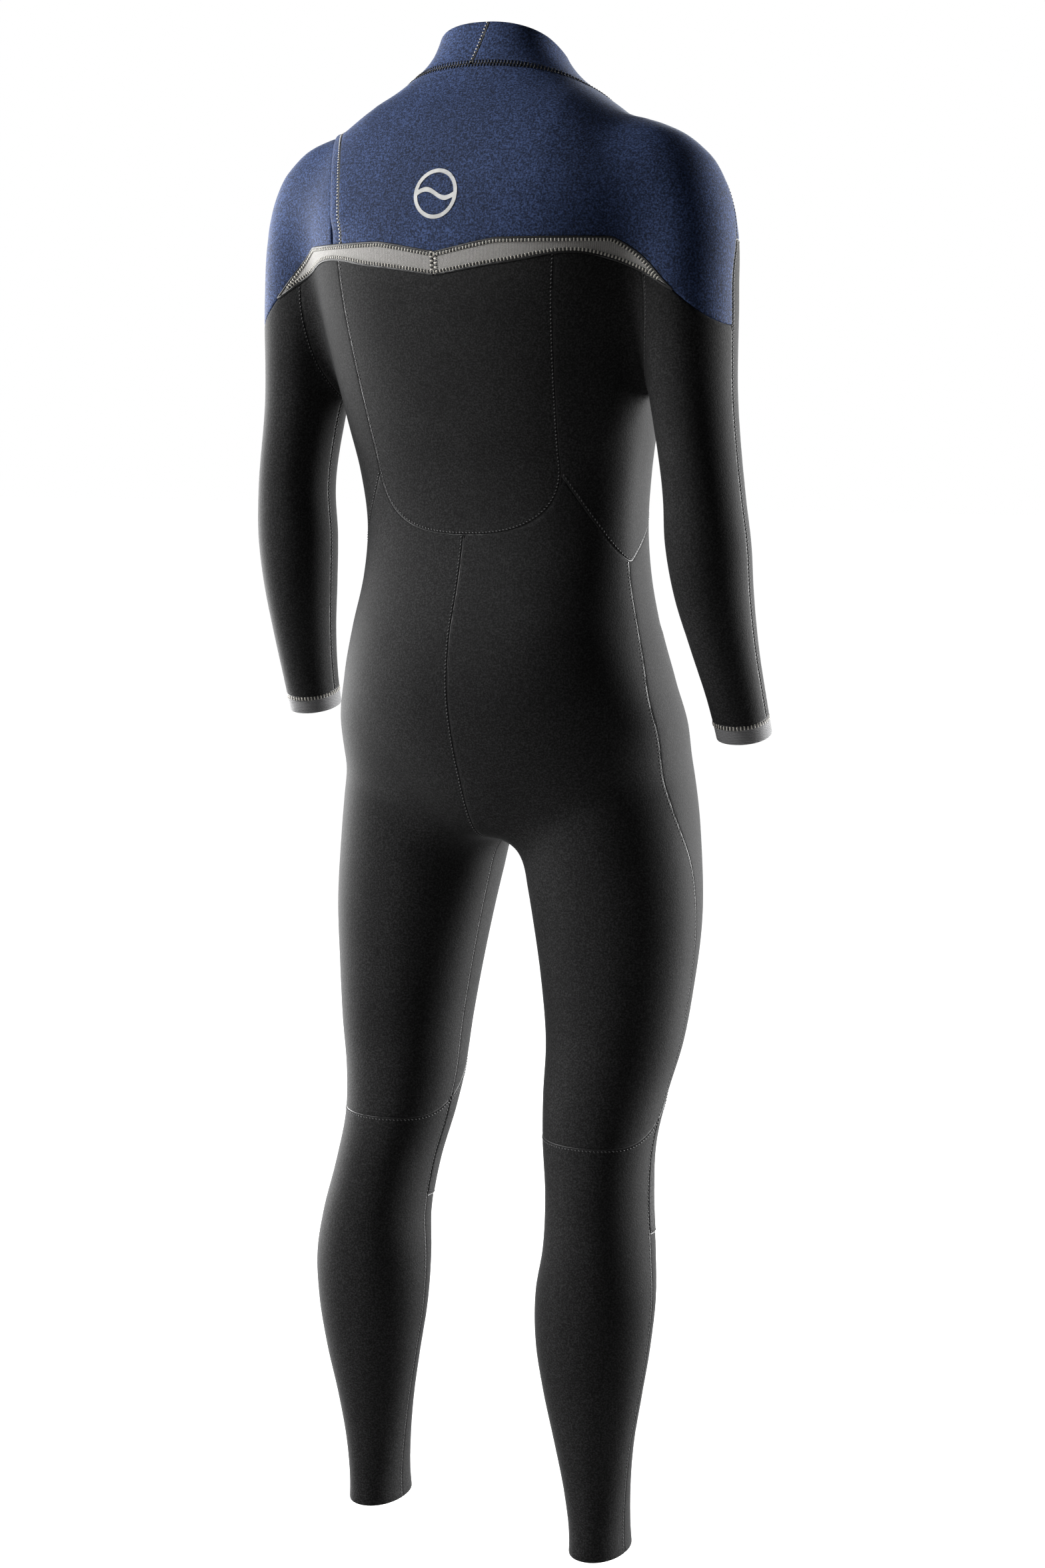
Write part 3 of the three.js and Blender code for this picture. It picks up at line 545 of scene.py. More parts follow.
def zip_slot(x, y, z):
    """The slot that the zip lies in: a long rounded window, open at the chest."""
    out = np.maximum(np.abs(x) - ZIP_LENGTH / 2 - SLOT_END + SLOT_ROUND, 0)
    up = np.maximum(np.abs(z - ZIP_HEIGHT) - SLOT_HEIGHT / 2 + SLOT_ROUND, 0)
    return np.hypot(out, up) - SLOT_ROUND + np.maximum(y + 10, 0)


# %% [markdown]
# ## Cutting the skin
# A knife cut through a mesh splits each facet that the line crosses. A point that lies almost on
# the line is slid on to it first, which keeps thin splinters out of the mesh. Every cut sends one
# side of the cloth one way and the rest the other, until each piece is one panel of the suit.

# %% The cutting tools
SEAM_GAP = 0.3
NEAR_CUT = 0.6


class Cloth:
    """A piece of the skin: its points, the way each point faces, and its facets."""

    def __init__(self, points, normals, facets):
        used, facets = np.unique(facets, return_inverse=True)
        self.points = points[used]
        self.normals = normals[used]
        self.facets = facets.reshape(-1, 3)
        self.used = used


def split_facets(facets, value):
    """Splits facets where value changes sign. Gives the facets, each one's side, and for each
    new point the two old ones and the share of the way from the first to the second."""
    sign = np.sign(value[facets]).astype(int)
    whole = ~((sign.min(1) < 0) & (sign.max(1) > 0))
    kept, kept_side = facets[whole], np.sign(value[facets[whole]].sum(1) + 1e-9)
    cut = facets[~whole]
    sign = sign[~whole]
    has_zero = (sign == 0).any(1)
    lone = np.where(has_zero, np.argmax(sign == 0, 1),
                    np.argmax(sign == -np.sign(sign.sum(1))[:, None], 1))
    turn = (lone[:, None] + np.arange(3)) % 3
    cut = np.take_along_axis(cut, turn, 1)
    a, b, c = cut.T
    pairs = np.concatenate([np.stack([b, c], 1)[has_zero], np.stack([a, b], 1)[~has_zero],
                            np.stack([c, a], 1)[~has_zero]])
    pairs.sort(axis=1)
    pairs, place = np.unique(pairs, axis=0, return_inverse=True)
    place = place.ravel() + len(value)
    zeros, alone = has_zero.sum(), (~has_zero).sum()
    p = place[:zeros]
    q, r = place[zeros:zeros + alone], place[zeros + alone:]
    za, zb, zc = cut[has_zero].T
    la, lb, lc = cut[~has_zero].T
    made = [(za, zb, p, zb), (za, p, zc, zc), (la, q, r, la), (q, lb, lc, lb), (q, lc, r, lb)]
    facets = np.concatenate([kept] + [np.stack(m[:3], 1) for m in made])
    side = np.concatenate([kept_side] + [np.sign(value[m[3]]) for m in made])
    share = value[pairs[:, 0]] / (value[pairs[:, 0]] - value[pairs[:, 1]])
    return facets, side, pairs, share[:, None]


def insert(values, pairs, share):
    """Adds to a list of point values what the new points get."""
    return np.concatenate([values, values[pairs[:, 0]] * (1 - share)
                           + values[pairs[:, 1]] * share])


def measured(cloth, seam):
    """Distance from the seam along the cloth, and the way it grows."""
    value = np.array(seam(*cloth.points.T), float)
    near = np.abs(value) < 25
    rise = np.zeros_like(cloth.points)
    rise[near] = slope_of(seam, cloth.points[near])
    rise -= (rise * cloth.normals).sum(1)[:, None] * cloth.normals
    size = np.maximum(np.linalg.norm(rise, axis=1), 0.25)
    value[near] /= size[near]
    return value, rise / size[:, None]


def keep(cloth, seam, sign, gap=SEAM_GAP):
    """The part of the cloth on one side of a seam, trimmed back by half the gap."""
    value, way = measured(cloth, seam)
    value = sign * value - gap / 2
    near = np.abs(value) < NEAR_CUT
    points = cloth.points.copy()
    points[near] -= (sign * value[near])[:, None] * way[near]
    value[near] = 0
    facets, side, pairs, share = split_facets(cloth.facets, value)
    normals = unit(insert(cloth.normals, pairs, share))
    return Cloth(insert(points, pairs, share), normals, facets[side > 0])


def cut_out(cloth, plan, panels):
    """Follows a plan of (seam, first side, other side) down to single panels."""
    if isinstance(plan, str):
        panels[plan] = cloth
        return panels
    seam, first, second = plan
    cut_out(keep(cloth, seam, 1), first, panels)
    cut_out(keep(cloth, seam, -1), second, panels)
    return panels


def pair(make):
    return (centre_seam, make("left"), make("right"))


def sleeve(side):
    return (cuff_seam, (sleeve_seam, f"sleeve_back_{side}", f"sleeve_front_{side}"),
            f"wrist_cuff_{side}")


def leg(side):
    lower = (leg_seam, f"calf_{side}", (shin_seam, f"knee_pad_{side}", f"shin_{side}"))
    return (knee_seam, (leg_seam, f"seat_and_thigh_{side}", f"thigh_front_{side}"), lower)


PLAN = (neck_seam, (collar_seam, "neck_collar_left", "neck_collar_right"), (
    yoke_seam,
    (flap_seam, (fold_edge, "left_shoulder", "entry_flap_fold"),
     (sleeve_seam, "back_yoke", "entry_flap")),
    (band_seam, pair(lambda side: f"back_band_{side}"), (
        armhole, pair(sleeve), (
            back_panel, "back_panel", (
                waist_seam,
                (front_seam, pair(lambda side: f"side_panel_{side}"), "front_body"),
                pair(leg)))))))

# %% Cut the panels
skin_facets = np.concatenate([skin_quads[:, [0, 1, 2]], skin_quads[:, [0, 2, 3]]])
whole_skin = Cloth(skin_points, corner_normals(skin_points, skin_facets), skin_facets)
whole_skin = keep(whole_skin, rim, -1, 0)
whole_skin = keep(whole_skin, ankle_line, 1, 0)
whole_skin = keep(whole_skin, only_arms, 1, 0)
panels = cut_out(whole_skin, PLAN, {})
for name in ("entry_flap", "front_body"):
    panels[name] = keep(panels[name], zip_slot, 1, 0)
print(len(panels), "panels with", sum(len(p.facets) for p in panels.values()), "facets")

# %% [markdown]
# ## Cloth that looks like cloth
# Wetsuit jersey is a close knit with a brushed face. Seen near, it is a fine grain of light and
# dark loops. Seen along its surface it turns pale, as velvet does. So each cloth has a small
# noise in its colour and its relief, and sheen on the shader. The pale band is woven, with fine
# raised lines, and the knee has a pattern pressed into it.

# %% Cloth and plastic finishes
def new_finish(name, roughness, sheen=0.0, sheen_tint=(1, 1, 1), specular=0.25):
    """A material with its constant values on the shader, and a place for its pattern."""
    material = bpy.data.materials.new(name)
    material.use_nodes = True
    tree = material.node_tree
    shader = tree.nodes["Principled BSDF"]
    shader.inputs["Roughness"].default_value = roughness
    shader.inputs["Specular IOR Level"].default_value = specular
    shader.inputs["Sheen Weight"].default_value = sheen
    shader.inputs["Sheen Roughness"].default_value = 0.22
    shader.inputs["Sheen Tint"].default_value = (*sheen_tint, 1)
    place = tree.nodes.new("ShaderNodeTexCoord").outputs["Object"]
    return material, tree, shader, place


def grain(tree, place, scale, detail=2.0):
    """A noise of a given number of bumps to the metre."""
    noise = tree.nodes.new("ShaderNodeTexNoise")
    noise.inputs["Scale"].default_value = scale
    noise.inputs["Detail"].default_value = detail
    tree.links.new(place, noise.inputs["Vector"])
    return noise.outputs["Fac"]


def ramp(tree, value, stops):
    """Turns a value into a colour: stops are (position, colour)."""
    node = tree.nodes.new("ShaderNodeValToRGB")
    while len(node.color_ramp.elements) < len(stops):
        node.color_ramp.elements.new(0.5)
    for element, (position, colour) in zip(node.color_ramp.elements, stops):
        element.position = position
        element.color = (*colour, 1)
    tree.links.new(value, node.inputs["Fac"])
    return node.outputs["Color"]


def raise_by(tree, shader, height, distance, strength=1.0, under=None):
    """Adds relief from a height, on top of any relief under it."""
    node = tree.nodes.new("ShaderNodeBump")
    node.inputs["Distance"].default_value = distance
    node.inputs["Strength"].default_value = strength
    tree.links.new(height, node.inputs["Height"])
    if under:
        tree.links.new(under, node.inputs["Normal"])
    tree.links.new(node.outputs["Normal"], shader.inputs["Normal"])
    return node.outputs["Normal"]


def mixed(tree, mode, a, b, share):
    """Two colours laid over each other."""
    node = tree.nodes.new("ShaderNodeMix")
    node.data_type = "RGBA"
    node.blend_type = mode
    node.inputs["Factor"].default_value = share
    tree.links.new(a, node.inputs["A"])
    tree.links.new(b, node.inputs["B"])
    return node.outputs["Result"]


def shades(colour, low, high):
    """A darker and a lighter shade of one colour."""
    return tuple(c * low for c in colour), tuple(c * high for c in colour)


def jersey(name, colour, sheen, sheen_tint):
    """Brushed knit: loops about a millimetre apart, a finer fuzz, and soft patches."""
    material, tree, shader, place = new_finish(name, 0.82, sheen, sheen_tint, 0.14)
    loops = grain(tree, place, 620, 3)
    dark, light = shades(colour, 0.35, 2.3)
    knit = ramp(tree, loops, [(0.36, dark), (0.5, colour), (0.66, light)])
    patches = ramp(tree, grain(tree, place, 14, 1), [(0.35, (0.86,) * 3), (0.65, (1.1,) * 3)])
    colour_out = mixed(tree, "MULTIPLY", knit, patches, 1.0)
    tree.links.new(colour_out, shader.inputs["Base Color"])
    relief = raise_by(tree, shader, loops, 0.0005, 0.55)
    raise_by(tree, shader, grain(tree, place, 2200, 1), 0.00012, 0.5, relief)
    return material


def lines_across(tree, place, pitch, direction):
    """Fine lines at a pitch, in metres, that cross a direction."""
    wave = tree.nodes.new("ShaderNodeTexWave")
    wave.wave_type = "BANDS"
    wave.bands_direction = direction
    wave.inputs["Scale"].default_value = math.pi / 10 / pitch
    wave.inputs["Distortion"].default_value = 1.2
    wave.inputs["Detail"].default_value = 1.0
    wave.inputs["Detail Scale"].default_value = 60
    tree.links.new(place, wave.inputs["Vector"])
    return wave.outputs["Fac"]


def woven(name, colour, pitch, direction, sheen=0.15):
    """Cloth with fine raised lines over a knit grain."""
    material, tree, shader, place = new_finish(name, 0.75, sheen)
    weave = lines_across(tree, place, pitch, direction)
    dark, light = shades(colour, 0.72, 1.1)
    stripes = ramp(tree, weave, [(0.1, dark), (0.55, colour), (0.9, light)])
    fuzz = grain(tree, place, 900, 2)
    speckle = ramp(tree, fuzz, [(0.3, (0.82,) * 3), (0.7, (1.12,) * 3)])
    tree.links.new(mixed(tree, "MULTIPLY", stripes, speckle, 1.0), shader.inputs["Base Color"])
    relief = raise_by(tree, shader, weave, 0.0003, 0.6)
    raise_by(tree, shader, fuzz, 0.0002, 0.5, relief)
    return material


def pressed(name, colour):
    """Hard-wearing cloth with small cells pressed into it."""
    material, tree, shader, place = new_finish(name, 0.72, 0.1, specular=0.12)
    cells = tree.nodes.new("ShaderNodeTexVoronoi")
    cells.feature = "DISTANCE_TO_EDGE"
    cells.inputs["Scale"].default_value = 190
    cells.inputs["Randomness"].default_value = 0.25
    tree.links.new(place, cells.inputs["Vector"])
    dark, light = shades(colour, 0.5, 1.25)
    tone = ramp(tree, cells.outputs["Distance"], [(0.0, dark), (0.12, colour), (0.3, light)])
    tree.links.new(tone, shader.inputs["Base Color"])
    edge = remapped(tree, cells.outputs["Distance"], {"From Max": 0.12})
    relief = raise_by(tree, shader, edge, 0.0004, 0.7)
    raise_by(tree, shader, grain(tree, place, 900, 2), 0.0002, 0.4, relief)
    return material


def moulded(name, colour, roughness, specular=0.5):
    """Plastic or rubber with a faint moulded texture and worn patches."""
    material, tree, shader, place = new_finish(name, roughness, specular=specular)
    patches = grain(tree, place, 60, 3)
    dark, light = shades(colour, 0.8, 1.35)
    tree.links.new(ramp(tree, patches, [(0.35, dark), (0.75, light)]),
                   shader.inputs["Base Color"])
    rough = remapped(tree, patches, {"To Min": roughness - 0.08, "To Max": roughness + 0.1})
    tree.links.new(rough, shader.inputs["Roughness"])
    raise_by(tree, shader, grain(tree, place, 1500, 1), 0.0001, 0.3)
    return material


def thread(name, colour):
    """Twisted polyester thread."""
    material, tree, shader, place = new_finish(name, 0.55, 0.1, specular=0.4)
    dark, light = shades(colour, 0.7, 1.2)
    twist = grain(tree, place, 1800, 1)
    tree.links.new(ramp(tree, twist, [(0.35, dark), (0.65, light)]),
                   shader.inputs["Base Color"])
    raise_by(tree, shader, twist, 0.0002, 0.5)
    return material


FINISH = {
    "blue_jersey": jersey("blue_jersey", (0.019, 0.031, 0.074), 0.15, (0.75, 0.83, 1.0)),
    "black_jersey": jersey("black_jersey", (0.0085, 0.0085, 0.0087), 0.11, (0.95, 0.97, 1.0)),
    "band_tape": woven("band_tape", (0.27, 0.262, 0.25), 0.0014, "X"),
    "cuff_rib": woven("cuff_rib", (0.16, 0.16, 0.163), 0.0016, "Z"),
    "knee_jersey": pressed("knee_jersey", (0.0095, 0.0095, 0.0098)),
    "zip_tape": woven("zip_tape", (0.012, 0.012, 0.013), 0.0012, "Z", 0.1),
    "zip_plastic": moulded("zip_plastic", (0.014, 0.014, 0.015), 0.38),
    "barrier_skin": moulded("barrier_skin", (0.011, 0.011, 0.012), 0.42, 0.35),
    "badge_print": moulded("badge_print", (0.42, 0.42, 0.41), 0.5, 0.3),
    "thread_black": thread("thread_black", (0.003, 0.003, 0.0032)),
    "thread_cream": thread("thread_cream", (0.50, 0.475, 0.42)),
    "thread_grey": thread("thread_grey", (0.055, 0.055, 0.056)),
}

# %% [markdown]
# ## Panels with thickness and rounded edges
# Where two sheets of foam are glued edge to edge, each edge turns down a little into the joint.
# That small valley is what makes a seam visible. Loops of points are laid beside every edge, the
# edge is lowered on a quarter round, and then the panel gets its foam's thickness and a wall all
# round, so each is a closed sheet and not a painted line.

# %% From cut cloth to panels
NECK = np.array([0.0, 38.0, 1500.0])
EDGE_LOOPS = (1.0, 0.5, 0.2)
WALL = {"neck_collar": 2.6, "wrist_cuff": 2.6, "knee_pad": 4.6, "default": 3.6}
EDGE = {"back_band": (1.5, 0.6), "neck_collar": (2.4, 1.1), "wrist_cuff": (1.8, 0.8),
        "entry_flap_fold": (4.0, 1.3), "default": (2.4, 1.0)}
FLAP_LIFT, FLAP_FADE = 2.6, 16.0


def for_panel(table, name):
    """A panel's own entry in a table, or the table's default."""
    return next((value for key, value in table.items() if name.startswith(key)),
                table["default"])


def in_frame(points):
    """From the draft's millimetres to the frame's metres."""
    return (points - NECK) / 1000


def border_edges(facets):
    edges = np.concatenate([facets[:, [0, 1]], facets[:, [1, 2]], facets[:, [2, 0]]])
    _, first, uses = np.unique(np.sort(edges, 1), axis=0, return_index=True,
                               return_counts=True)
    return edges[first[uses == 1]]


def edge_distance(cloth, reach):
    """How far each point is from the cloth's edge, up to a reach."""
    edges = border_edges(cloth.facets)
    samples = []
    for start, end in cloth.points[edges]:
        count = int(np.linalg.norm(end - start) / 0.7) + 1
        samples.extend(start + (end - start) * n / count for n in range(count))
    tree = KDTree(len(samples))
    for n, point in enumerate(samples):
        tree.insert(point, n)
    tree.balance()
    distance = np.array([min(tree.find(point)[2], reach) for point in cloth.points])
    distance[np.unique(edges)] = 0
    return distance


def add_edge_loops(cloth, width):
    """Lays loops of points beside the edge. Gives the finer cloth and each point's distance."""
    distance = edge_distance(cloth, 4 * width)
    points, normals, facets = cloth.points, cloth.normals, cloth.facets
    for share in EDGE_LOOPS:
        level = share * width
        value = distance - level
        value[np.abs(value) < 0.05 + 0.12 * level] = 0
        facets, _, pairs, part = split_facets(facets, value)
        points, normals = insert(points, pairs, part), insert(normals, pairs, part)
        distance = insert(distance, pairs, part.ravel())
    fine = Cloth(points, unit(normals), facets)
    return fine, distance[fine.used]


def lifted(name, points):
    """How far the panel stands above the skin's own form."""
    x, y, z = points.T
    if name.startswith("back_band"):
        return np.full(len(x), 0.45)
    if name.startswith("knee_pad"):
        return np.full(len(x), 0.6)
    over = bump(z - band_top(np.abs(x)), 16, 400, 14)
    over = np.where(y > 20, over, bump(z, ZIP_HEIGHT + 24, 2000, 18))
    over = over * bump(neck_seam(x, y, z), -400, -6, 10)
    if name == "entry_flap_fold":
        return FLAP_LIFT * over
    if name in ("back_yoke", "entry_flap"):
        return FLAP_LIFT * over * np.exp(-np.maximum(-flap_seam(x, y, z), 0) / FLAP_FADE)
    return np.zeros(len(x))


def edge_drop(name, points, distance):
    """A quarter round beside each edge. The flap's folded edge is a deeper, wider round."""
    width, depth = for_panel(EDGE, name)

    def quarter(far, wide, deep):
        t = np.clip(1 - far / wide, 0, 1)
        return deep * (1 - np.sqrt(1 - t**2))

    drop = quarter(distance, width, depth)
    if name == "entry_flap_fold":
        from_fold = np.maximum(-fold_edge(*points.T), 0)
        drop = np.maximum(drop, quarter(from_fold, 4.5, FLAP_LIFT + 0.6))
    return drop


def mesh_object(name, points, faces, finish):
    """A smooth-shaded object whose place is in its mesh."""
    mesh = bpy.data.meshes.new(name)
    mesh.from_pydata(points.tolist(), [], faces if isinstance(faces, list) else faces.tolist())
    made = bpy.data.objects.new(name, mesh)
    bpy.context.collection.objects.link(made)
    mesh.materials.append(FINISH[finish])
    mesh.shade_smooth()
    return made


def pick(piece):
    """Makes one piece the only one that the next tool works on."""
    bpy.ops.object.select_all(action="DESELECT")
    bpy.context.view_layer.objects.active = piece
    piece.select_set(True)


def smooth_by_angle(piece, degrees):
    """Keeps edges sharper than an angle crisp."""
    pick(piece)
    bpy.ops.object.shade_smooth_by_angle(angle=math.radians(degrees))
    piece.select_set(False)


def thicken(cloth, outside, inside):
    """Closes the cloth with an inner face and a wall along its edge."""
    count = len(cloth.points)
    points = np.concatenate([cloth.points + cloth.normals * outside[:, None],
                             cloth.points - cloth.normals * inside[:, None]])
    edges = border_edges(cloth.facets)
    a, b = edges.T
    walls = np.concatenate([np.stack([b, a, a + count], 1),
                            np.stack([b, a + count, b + count], 1)])
    return points, np.concatenate([cloth.facets, cloth.facets[:, ::-1] + count, walls])


SLOT_OF = {row["node"]: row["material_slot"] for row in frame["record"]["subparts"]}


def stand_in(piece, node, body, degrees):
    """Smooths a piece and puts it in the place of a CAD part."""
    smooth_by_angle(piece, degrees)
    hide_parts(node)
    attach(piece, body)


def make_panel(name, cloth):
    fine, distance = add_edge_loops(cloth, for_panel(EDGE, name)[0])
    drop = edge_drop(name, fine.points, distance)
    lift = lifted(name, fine.points)
    thickness = for_panel(WALL, name)
    points, facets = thicken(fine, lift - drop, thickness - 0.4 * drop)
    piece = mesh_object(f"{name}_sheet", in_frame(points), facets, SLOT_OF[name])
    stand_in(piece, name, "suit", 50)
    return piece


for name, cloth in panels.items():
    piece = make_panel(name, cloth)
    print(f"{name}: {len(piece.data.polygons)} facets")

# %% [markdown]
# ## Sewing
# Thread is what tells an expensive suit from a drawing of one. A glued seam shows a dark line of
# glue at the bottom of its valley, and a blind stitch beside it. The neck and the band have a
# flat overlock, whose bars cross the joint. One stitch is modelled once, and copies of it are
# laid along the edge of the panel, each turned to lie on the cloth.

# %% Lines to sew along
BEAD_SIDES = 6
# Bars need this much of the band's width, because they come from both of its edges.
BAR_ROOM = 6


def edge_runs(cloth, seam):
    """Ordered runs of the edge points that lie on a seam."""
    fits = np.abs(measured(cloth, seam)[0]) < 0.9
    following = {a: b for a, b in border_edges(cloth.facets).tolist() if fits[a] and fits[b]}
    heads = sorted(set(following) - set(following.values()))
    runs = []
    while following:
        start = heads.pop() if heads else next(iter(following))
        run = [start]
        while run[-1] in following:
            run.append(following.pop(run[-1]))
        if len(run) > 4:
            runs.append(run)
    return runs


def walk(cloth, run, pitch, shift=0.0):
    """Evenly spaced places on a run, each with its way along, inwards and outwards."""
    path, normals = cloth.points[run], cloth.normals[run]
    length = np.concatenate([[0], np.cumsum(np.linalg.norm(np.diff(path, axis=0), axis=1))])
    count = max(int(length[-1] / pitch), 2)
    at = (np.arange(count) + 0.5 + shift) * length[-1] / count
    at = np.clip(at, 0, length[-1])
    place = np.stack([np.interp(at, length, path[:, n]) for n in range(3)], 1)
    out = unit(np.stack([np.interp(at, length, normals[:, n]) for n in range(3)], 1))
    way = np.gradient(place, axis=0)
    inwards = unit(np.cross(out, way))
    return place, np.cross(inwards, out), inwards, out


def on_cloth(name, place, inwards, out, inset, above):
    """Points at an inset from the panel's edge, at a height above its rounded face."""
    moved = place + inset * inwards
    height = lifted(name, moved) - edge_drop(name, moved, np.full(len(moved), max(inset, 0.0)))
    return moved + (height + above)[:, None] * out


def one_stitch(length, across, height, slant):
    """A short round-ended bar: x along the joint, y across it, z out of the cloth."""
    bpy.ops.mesh.primitive_cube_add(size=1)
    bar = bpy.context.object
    bar.scale = (across, length, height)
    bpy.ops.object.transform_apply(scale=True)
    bpy.ops.object.mode_set(mode="EDIT")
    bpy.ops.mesh.select_all(action="SELECT")
    bpy.ops.mesh.bevel(offset=min(across, height) * 0.32, segments=1, affect="EDGES")
    bpy.ops.object.mode_set(mode="OBJECT")
    bar.rotation_euler = (0, 0, math.radians(slant))
    bpy.ops.object.transform_apply(rotation=True)
    points = np.array([v.co[:] for v in bar.data.vertices])
    faces = [list(f.vertices) for f in bar.data.polygons]
    bpy.data.objects.remove(bar)
    return points, faces


BAR = one_stitch(3.6, 1.2, 0.8, 0)
DOT = one_stitch(1.5, 1.5, 0.8, 0)
DASH = one_stitch(1.9, 0.85, 0.6, 55)


class Thread:
    """All the stitches of one colour along one kind of seam."""

    def __init__(self):
        self.points, self.faces, self.count = [], [], 0

    def add(self, points, faces):
        self.points.append(points)
        self.faces.extend([[n + self.count for n in face] for face in faces])
        self.count += len(points)


threads = {}


def spool(group, colour):
    return threads.setdefault(f"{group}_{colour}", Thread())


def room_for_bars(name, place):
    """The pale band tapers to a point, where it gets too narrow for bars."""
    wide = band_width(np.abs(place[:, 0])) > BAR_ROOM
    return wide | (not name.startswith("back_band"))


def stitch(group, colour, name, seam, template, pitch, inset, shift=0.0, tilt=0.0):
    """Lays copies of a stitch along a panel's edge."""
    points, faces = template
    for run in edge_runs(panels[name], seam):
        place, way, inwards, out = walk(panels[name], run, pitch, shift)
        place = on_cloth(name, place, inwards, out, inset, 0.12)
        inwards, out = inwards + tilt * out, out - tilt * inwards
        fits = room_for_bars(name, place)
        for p, t, b, n in zip(place[fits], way[fits], inwards[fits], out[fits]):
            spool(group, colour).add(p + points @ np.stack([t, b, n]), faces)


def glue_line(group, name, seam, radius):
    """A round black bead in the valley between two panels."""
    for run in edge_runs(panels[name], seam):
        place, way, inwards, out = walk(panels[name], run, 2.4)
        depth = for_panel(EDGE, name)[1]
        height = lifted(name, place) - depth - 0.1
        centre = place - SEAM_GAP / 2 * inwards + height[:, None] * out
        angle = np.arange(BEAD_SIDES) * 2 * math.pi / BEAD_SIDES
        ring = radius * (np.cos(angle)[None, :, None] * inwards[:, None]
                         + np.sin(angle)[None, :, None] * out[:, None])
        points = (centre[:, None] + ring).reshape(-1, 3)
        last = len(place) - 1
        faces = [[n * BEAD_SIDES + s, n * BEAD_SIDES + (s + 1) % BEAD_SIDES,
                  (n + 1) * BEAD_SIDES + (s + 1) % BEAD_SIDES, (n + 1) * BEAD_SIDES + s]
                 for n in range(last) for s in range(BEAD_SIDES)]
        faces.append(list(range(BEAD_SIDES))[::-1])
        faces.append([last * BEAD_SIDES + s for s in range(BEAD_SIDES)])
        spool(group, "black").add(points, faces)


# %% [markdown]
# ## Which seam gets which thread
# The neck is joined by a black overlock, and the pale band and the cuffs by one in black and
# cream. A row of pale dots runs beside the collar's back seam and the flap's fold. All other
# seams are glued and blind stitched, with grey thread that shows on one side of the joint only.

# %% Sew every seam
SHOULDER = ("left_shoulder", "entry_flap_fold", "back_yoke", "entry_flap")
COLLAR = ("neck_collar_left", "neck_collar_right")
TWO_COLOURS = ["black", "cream"]
PITCH, DASH_PITCH, COMB_PITCH = 3.2, 3.6, 3.4
BAR_INSET, DASH_INSET, DOT_INSET, ZIP_INSET = 1.7, 1.9, 1.6, 2.6
BAR_TILT = 0.22
THIN_GLUE, NECK_GLUE, BOLD_GLUE = 0.8, 1.1, 1.3


def both(*names):
    return [f"{name}_{side}" for side in ("left", "right") for name in names]


def overlock(group, name, seam, colours):
    """Bars across the edge, in one colour or in two that take turns."""
    for n, colour in enumerate(colours):
        pitch = PITCH if len(colours) == 1 else COMB_PITCH
        stitch(group, colour, name, seam, BAR, pitch, BAR_INSET, n / len(colours), BAR_TILT)


def blind_stitch(group, name, seam):
    glue_line(group, name, seam, THIN_GLUE)
    stitch(group, "grey", name, seam, DASH, DASH_PITCH, DASH_INSET)


def dotted_seam(group, name, seam):
    """A bold black line with a row of pale dots along one side."""
    glue_line(group, name, seam, BOLD_GLUE)
    stitch(group, "cream", name, seam, DOT, PITCH, DOT_INSET)


for name in COLLAR:
    glue_line("neck_seam", name, neck_seam, NECK_GLUE)
for name in COLLAR + SHOULDER:
    overlock("neck_seam", name, neck_seam, ["black"])
dotted_seam("collar_seam", "neck_collar_left", collar_seam)
dotted_seam("flap_seam", "entry_flap_fold", flap_seam)
blind_stitch("shoulder_seam", "entry_flap", sleeve_seam)
for name in both("back_band"):
    for seam in (yoke_seam, band_seam):
        glue_line("band_seam", name, seam, BOLD_GLUE)
    for seam in (yoke_seam, band_seam):
        overlock("band_seam", name, seam, TWO_COLOURS)
    overlock("band_seam", name, centre_seam,
             TWO_COLOURS if name.endswith("left") else TWO_COLOURS[::-1])
for name in both("wrist_cuff"):
    glue_line("cuff_seam", name, cuff_seam, THIN_GLUE)
    overlock("cuff_seam", name, cuff_seam, TWO_COLOURS)

BLIND_SEAMS = [
    ("sleeve_seam", sleeve_seam, both("sleeve_front")),
    ("armhole_seam", armhole, both("sleeve_front", "sleeve_back")),
    ("chest_seam", yoke_seam, both("sleeve_front") + ["front_body"] + both("side_panel")),
    ("back_seam", back_panel, ["back_panel"]),
    ("front_seam", front_seam, ["front_body"]),
    ("waist_seam", waist_seam, both("side_panel") + ["front_body"]),
    ("seat_seam", centre_seam, ["seat_and_thigh_left", "thigh_front_left"]),
    ("leg_seam", leg_seam, both("seat_and_thigh", "calf")),
    ("knee_seam", knee_seam, both("calf", "knee_pad")),
    ("shin_seam", shin_seam, both("knee_pad")),
]
for group, seam, names in BLIND_SEAMS:
    for name in names:
        blind_stitch(group, name, seam)
for name in ("entry_flap", "front_body"):
    stitch("zip_seam", "grey", name, zip_slot, DASH, DASH_PITCH, ZIP_INSET)

for key, run in threads.items():
    colour = key.rsplit("_", 1)[1]
    piece = mesh_object(f"{key}_thread", in_frame(np.concatenate(run.points)), run.faces,
                        f"thread_{colour}")
    smooth_by_angle(piece, 60)
    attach(piece, "suit")
    print(piece.name, len(piece.data.polygons), "facets")

# %% [markdown]
# ## The zip across the chest
# A chest zip is moulded from plastic on two woven tapes. Its teeth are alike, so one is modelled
# and copied at an even pitch, the upper and the lower row half a pitch apart so that they mesh.
# The slider, the pull, the tapes and the stops keep the CAD's shape, with their sharp edges
# rounded over as moulded parts are.

